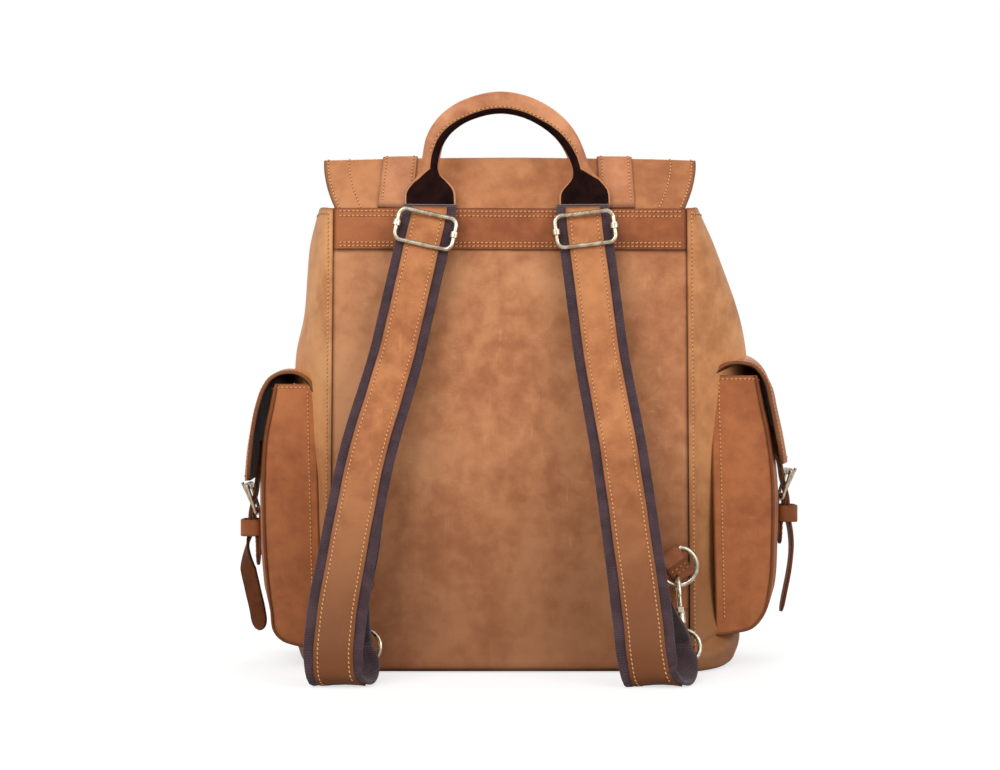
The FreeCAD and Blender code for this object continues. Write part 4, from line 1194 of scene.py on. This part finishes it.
corner_rows = np.sin(np.linspace(0.0, 1.0, 12)[1:] * math.pi / 2)
flap_t = np.concatenate([spaced(0.0, flap_straight, 0.014),
                         flap_straight + (1.0 - flap_straight) * corner_rows])
for side, sign in SIDE.items():
    shape = flap_shape(side)
    inside = (sign * 0.17, 0.0, 0.18)
    flap = panel("pocket_flap_leather_" + side, shape, spaced(-1.0, 1.0, 0.05), flap_t, FLAP,
                 2.8 * MM, inside, rim=1.8 * MM, dark_rows=(1, 1, 0, 1), back=FLESH)
    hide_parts("pocket_flap_" + side)
    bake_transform(flap)
    if side == "left":
        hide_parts("flap_roots")
    rows = [along(shape, v, np.linspace(0.02, 0.93, 110), inside) for v in (-0.945, 0.945)]
    rows.append(along(shape, np.linspace(-0.84, 0.84, 60), 0.965, inside))
    sewn = stitch_mesh("pocket_flap_stitches_" + side, rows)
    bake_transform(sewn)

# ---------------------------------------------------------------------------------------
# Strap fastenings. A billet comes down to each roller, over the heel bar and through a
# keeper; a short chape folds round the heel bar and is sewn down below it. The left
# pocket's tail has turned on its side and shows its dark flesh side.
TRIM = leather("trim_leather", rgb(178, 106, 56), rgb(138, 78, 40), rgb(200, 130, 76), patch=0.6, foot=0.3)
billet_wide = 19.0 * MM
billet_wall = 2.4 * MM


def fastening(roller, out):
    """Turns places about a buckle (down the strap, across it, outward, in mm) into points."""
    low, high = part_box(roller)
    out = np.asarray(out, float)
    start = np.array([(a + b) / 2 for a, b in zip(low, high)]) - out * 12 * MM
    axes = np.stack([(0.0, 0.0, -1.0), np.cross(out, (0.0, 0.0, 1.0)), out])
    return lambda places: start + np.asarray(places, float) @ axes * MM


def flat_line(points, step=1.5):
    """A smooth run through (down, outward) points, as places on the strap's middle line."""
    run = smooth_route(points, step * MM) / MM
    return np.column_stack([run[:, 0], np.zeros(len(run)), run[:, 1]])


def chape(name, place, end, out, finish):
    """The folded strip round the heel bar, and its two stitch rows."""
    turn = [(22 - 3.2 * math.cos(a), 5 + 3.2 * math.sin(a)) for a in np.radians([-60, -20, 20, 60])]
    run = [(end - 9, 2.2), (34, 2.1), (26, 1.9)] + turn + [(26, 8.0), (35, 5.6), (46, 4.6), (end, 4.2)]
    line = place(flat_line(run, 1.0))
    middle = place([(22, 0, 3.6)])
    facing = np.tile(np.asarray(out, float), (len(line), 1))
    fold = int(np.argmin((line - place([(0, 0, 5)])) @ np.array([0.0, 0.0, -1.0])))
    facing[:fold] *= -1.0
    near = np.linalg.norm(line - middle, axis=1) < 5.5 * MM
    facing[near] = unit(line[near] - place([(22, 0, 5)]))
    piece = strap(name, line, facing, billet_wide, 1.8 * MM, finish, rim=1.2 * MM, point=8 * MM)
    sewn = slice(len(line) - int(end - 40), len(line) - 7)
    rows = strap_rows(line[sewn], facing[sewn], billet_wide, 2.6 * MM, 0.9 * MM)
    return piece, stitch_mesh(name + "_stitches", rows)


def keeper(name, place, start, stop, out_to, finish):
    """A loop of hide round the strap between two places down it."""
    angles = np.radians(np.linspace(-90.0, 270.0, 61))
    half, mid = 11.6, (out_to + 1.9) / 2
    across = half * np.sign(np.cos(angles)) * np.abs(np.cos(angles)) ** 0.45
    rise = mid + (out_to - 1.9) / 2 * np.sign(np.sin(angles)) * np.abs(np.sin(angles)) ** 0.55
    down = np.full_like(angles, (start + stop) / 2)
    line = place(np.column_stack([down, across, rise]))
    facing = unit(line - place([((start + stop) / 2, 0, mid)]))
    return strap(name, line, facing, (stop - start) * MM, 1.9 * MM, finish, rim=1.4 * MM, cap=False)


billet_run = {
    "left": [(-38, 0.8), (-23, 2.0), (-11, 4.2), (-3, 5.3), (3, 5.9), (22, 10.2), (38, 10.9), (52, 13.5),
             (66, 13.6), (86, 9.6), (106, 5.0), (122, 2.6)],
    "right": [(-38, -3.7), (-23, -0.2), (-11, 3.3), (-3, 5.1), (3, 5.8), (22, 10.2), (38, 11.0), (50, 13.2),
              (61, 14.0), (74, 13.2), (87, 11.3), (102, 8.4), (118, 5.3)]}
for side, sign in SIDE.items():
    out = (sign, 0.0, 0.0)
    body = "pocket_flap_" + side
    place = fastening("pocket_roller_" + side, out)
    line = flat_line(billet_run[side])
    twist = clamp((line[:, 0] - 44) / 26) ** 1.2 * (0.85 if sign < 0 else 0.05)
    facing = np.column_stack([sign * np.cos(twist), -np.sin(twist), np.zeros(len(line))])
    line[:, 1] += 1.5 * np.sin(line[:, 0] / 38) * clamp((line[:, 0] - 40) / 40)
    points = place(line)
    tail = int(np.argmin(np.abs(line[:, 0] - 36)))
    billet = strap("pocket_billet_leather_" + side, points[:tail + 1], facing[:tail + 1],
                   billet_wide, billet_wall, TRIM, rim=1.3 * MM)
    end = strap("pocket_tail_leather_" + side, points[tail:], facing[tail:], billet_wide,
                billet_wall, FLESH if sign < 0 else TRIM, rim=1.3 * MM, point=11 * MM)
    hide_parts("pocket_billet_" + side)
    folded, sewn = chape("pocket_chape_leather_" + side, place, 67.0 if sign < 0 else 61.0, out, TRIM)
    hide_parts("pocket_chape_" + side)
    loop = keeper("pocket_keeper_leather_" + side, place, 28.0, 42.0, 17.6, TRIM)
    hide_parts("pocket_keeper_" + side)
    for piece in (billet, end, folded, sewn, loop):
        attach(piece, body)
    place = fastening("lid_roller_" + side, (0.0, 1.0, 0.0))
    folded, sewn = chape("lid_chape_leather_" + side, place, 64.0, (0.0, 1.0, 0.0), TRIM)
    loop = keeper("lid_keeper_leather_" + side, place, 28.0, 39.0, 15.2, TRIM)
    if side == "left":
        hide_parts("lid_chapes")
        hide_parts("lid_keepers")
    for piece in (folded, sewn, loop):
        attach(piece, "lid")

# ---------------------------------------------------------------------------------------
# Front pocket. A plain open pocket on the front panel, under the lid, sewn round its
# sides and foot and hemmed along its mouth.
pocket_low, pocket_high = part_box("front_pocket")
pocket_upright = 0.86    # share of t above the foot's bend
foot_bend = 16 * MM


def front_pocket_shape(u, t):
    """The pocket: u round it from side to side, t from its mouth down and under its foot."""
    angle = math.pi * clamp(u)
    across = -pocket_high.x * np.sign(np.cos(angle)) * np.abs(np.cos(angle)) ** 0.32
    drop = clamp((t - pocket_upright) / (1.0 - pocket_upright)) * math.pi / 2
    upright = (pocket_high.z - pocket_low.z - foot_bend) * clamp(t / pocket_upright)
    z = pocket_high.z - upright - foot_bend * np.sin(drop)
    depth = np.abs(np.sin(angle)) ** 0.32 * np.cos(drop) ** 0.5
    wall = front_y(z) + 0.6 * MM
    y = wall + (pocket_high.y - wall - 1.6 * MM + 0.9 * MM * ripple(across, z, 97)) * depth
    return np.stack([across, y, z], -1)


pocket_inside = (0.0, 0.04, 0.10)
front_u = (1.0 - np.cos(np.linspace(0.0, 1.0, 90) * math.pi)) / 2
front_t = np.concatenate([spaced(0.0, pocket_upright, 0.03),
                          np.linspace(pocket_upright, 1.0, 12)[1:]])
front_pocket = panel("front_pocket_leather", front_pocket_shape, front_u, front_t, POCKET,
                     2.0 * MM, pocket_inside, rim=1.8 * MM)
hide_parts("front_pocket")
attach(front_pocket, "root")
pocket_hem = along(front_pocket_shape, np.linspace(0.12, 0.88, 110), 0.03, pocket_inside)
pocket_sewn = stitch_mesh("front_pocket_stitches", [pocket_hem])
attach(pocket_sewn, "root")

# ---------------------------------------------------------------------------------------
# Corner ring anchors. A three-cornered patch sewn into the seam at each lower corner; a
# tab from it folds round the ring's straight bar.
ANCHOR = leather("anchor_leather", rgb(178, 108, 66), rgb(144, 84, 50), rgb(198, 128, 84),
                 patch=0.5, foot=0.2)
ring_spot = {"left": np.array([-130.0, -88.0, 86.0]) * MM,
             "right": np.array([133.0, -88.0, 86.0]) * MM}
# the tab round the ring's bar, in mm from it: up its slope, and towards the wearer
tab_run = [(-8.5, 1.0), (-5, 2.4), (-1.5, 3.1), (1.4, 2.8), (3.0, 1.2), (3.0, -1.2),
           (1.2, -3.0), (-3, -4.2), (-8, -6.4), (-13, -9.0), (-19, -10.4), (-24, -10.6)]
tilt = math.radians(35.0)
for side, sign in SIDE.items():
    upward = np.array([-sign * math.sin(tilt), 0.0, math.cos(tilt)])
    bar_line = np.cross(upward, (0.0, 1.0, 0.0))
    bar = ring_spot[side] + upward * 11 * MM
    run = smooth_route(tab_run, 0.8 * MM)
    line = bar + np.outer(run[:, 0], upward) + np.outer(run[:, 1], (0.0, -1.0, 0.0))
    ahead = unit(np.gradient(line, axis=0))
    facing = np.cross(ahead, bar_line)
    facing = facing * np.sign(((line[12] - bar) * facing[12]).sum())
    tab = strap("ring_tab_" + side, line, facing, 18 * MM, 1.9 * MM, ANCHOR, rim=1.3 * MM)

    def patch_shape(a, b, sign=sign):
        """A patch with one side along the seam and one corner towards the middle."""
        z = 0.050 + 0.050 * b
        inner = 34 * MM * (1 - np.abs(2 * b - 0.85) ** 1.6 * 0.85)
        x = sign * (seam_x + 2.0 * MM - a * np.maximum(inner, 3 * MM))
        y = back_shape(x, z)[..., 1] - 1.4 * MM
        return np.stack([x, y, z], -1)

    patch = panel("ring_patch_" + side, patch_shape, np.linspace(0.0, 1.0, 16),
                  np.linspace(0.0, 1.0, 24), ANCHOR, 1.4 * MM, (0.0, 0.0, 0.1),
                  rim=1.6 * MM, dark_rows=(1, 1, 0, 1))
    across = np.linspace(-8.0, 8.0, 12) * MM
    rows = []
    for back in (-13.5, -17.0):
        row = bar + upward * back * MM + np.outer(across, bar_line)
        row[:, 1] = bar[1] - np.interp(back * MM, run[::-1, 0], run[::-1, 1]) - 1.0 * MM
        rows.append((row, np.tile([0.0, -1.0, 0.0], (len(row), 1))))
    sewn = stitch_mesh("ring_tab_stitches_" + side, rows)
    for piece in (tab, patch, sewn):
        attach(piece, "root")
    if side == "left":
        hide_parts("anchor_patches")
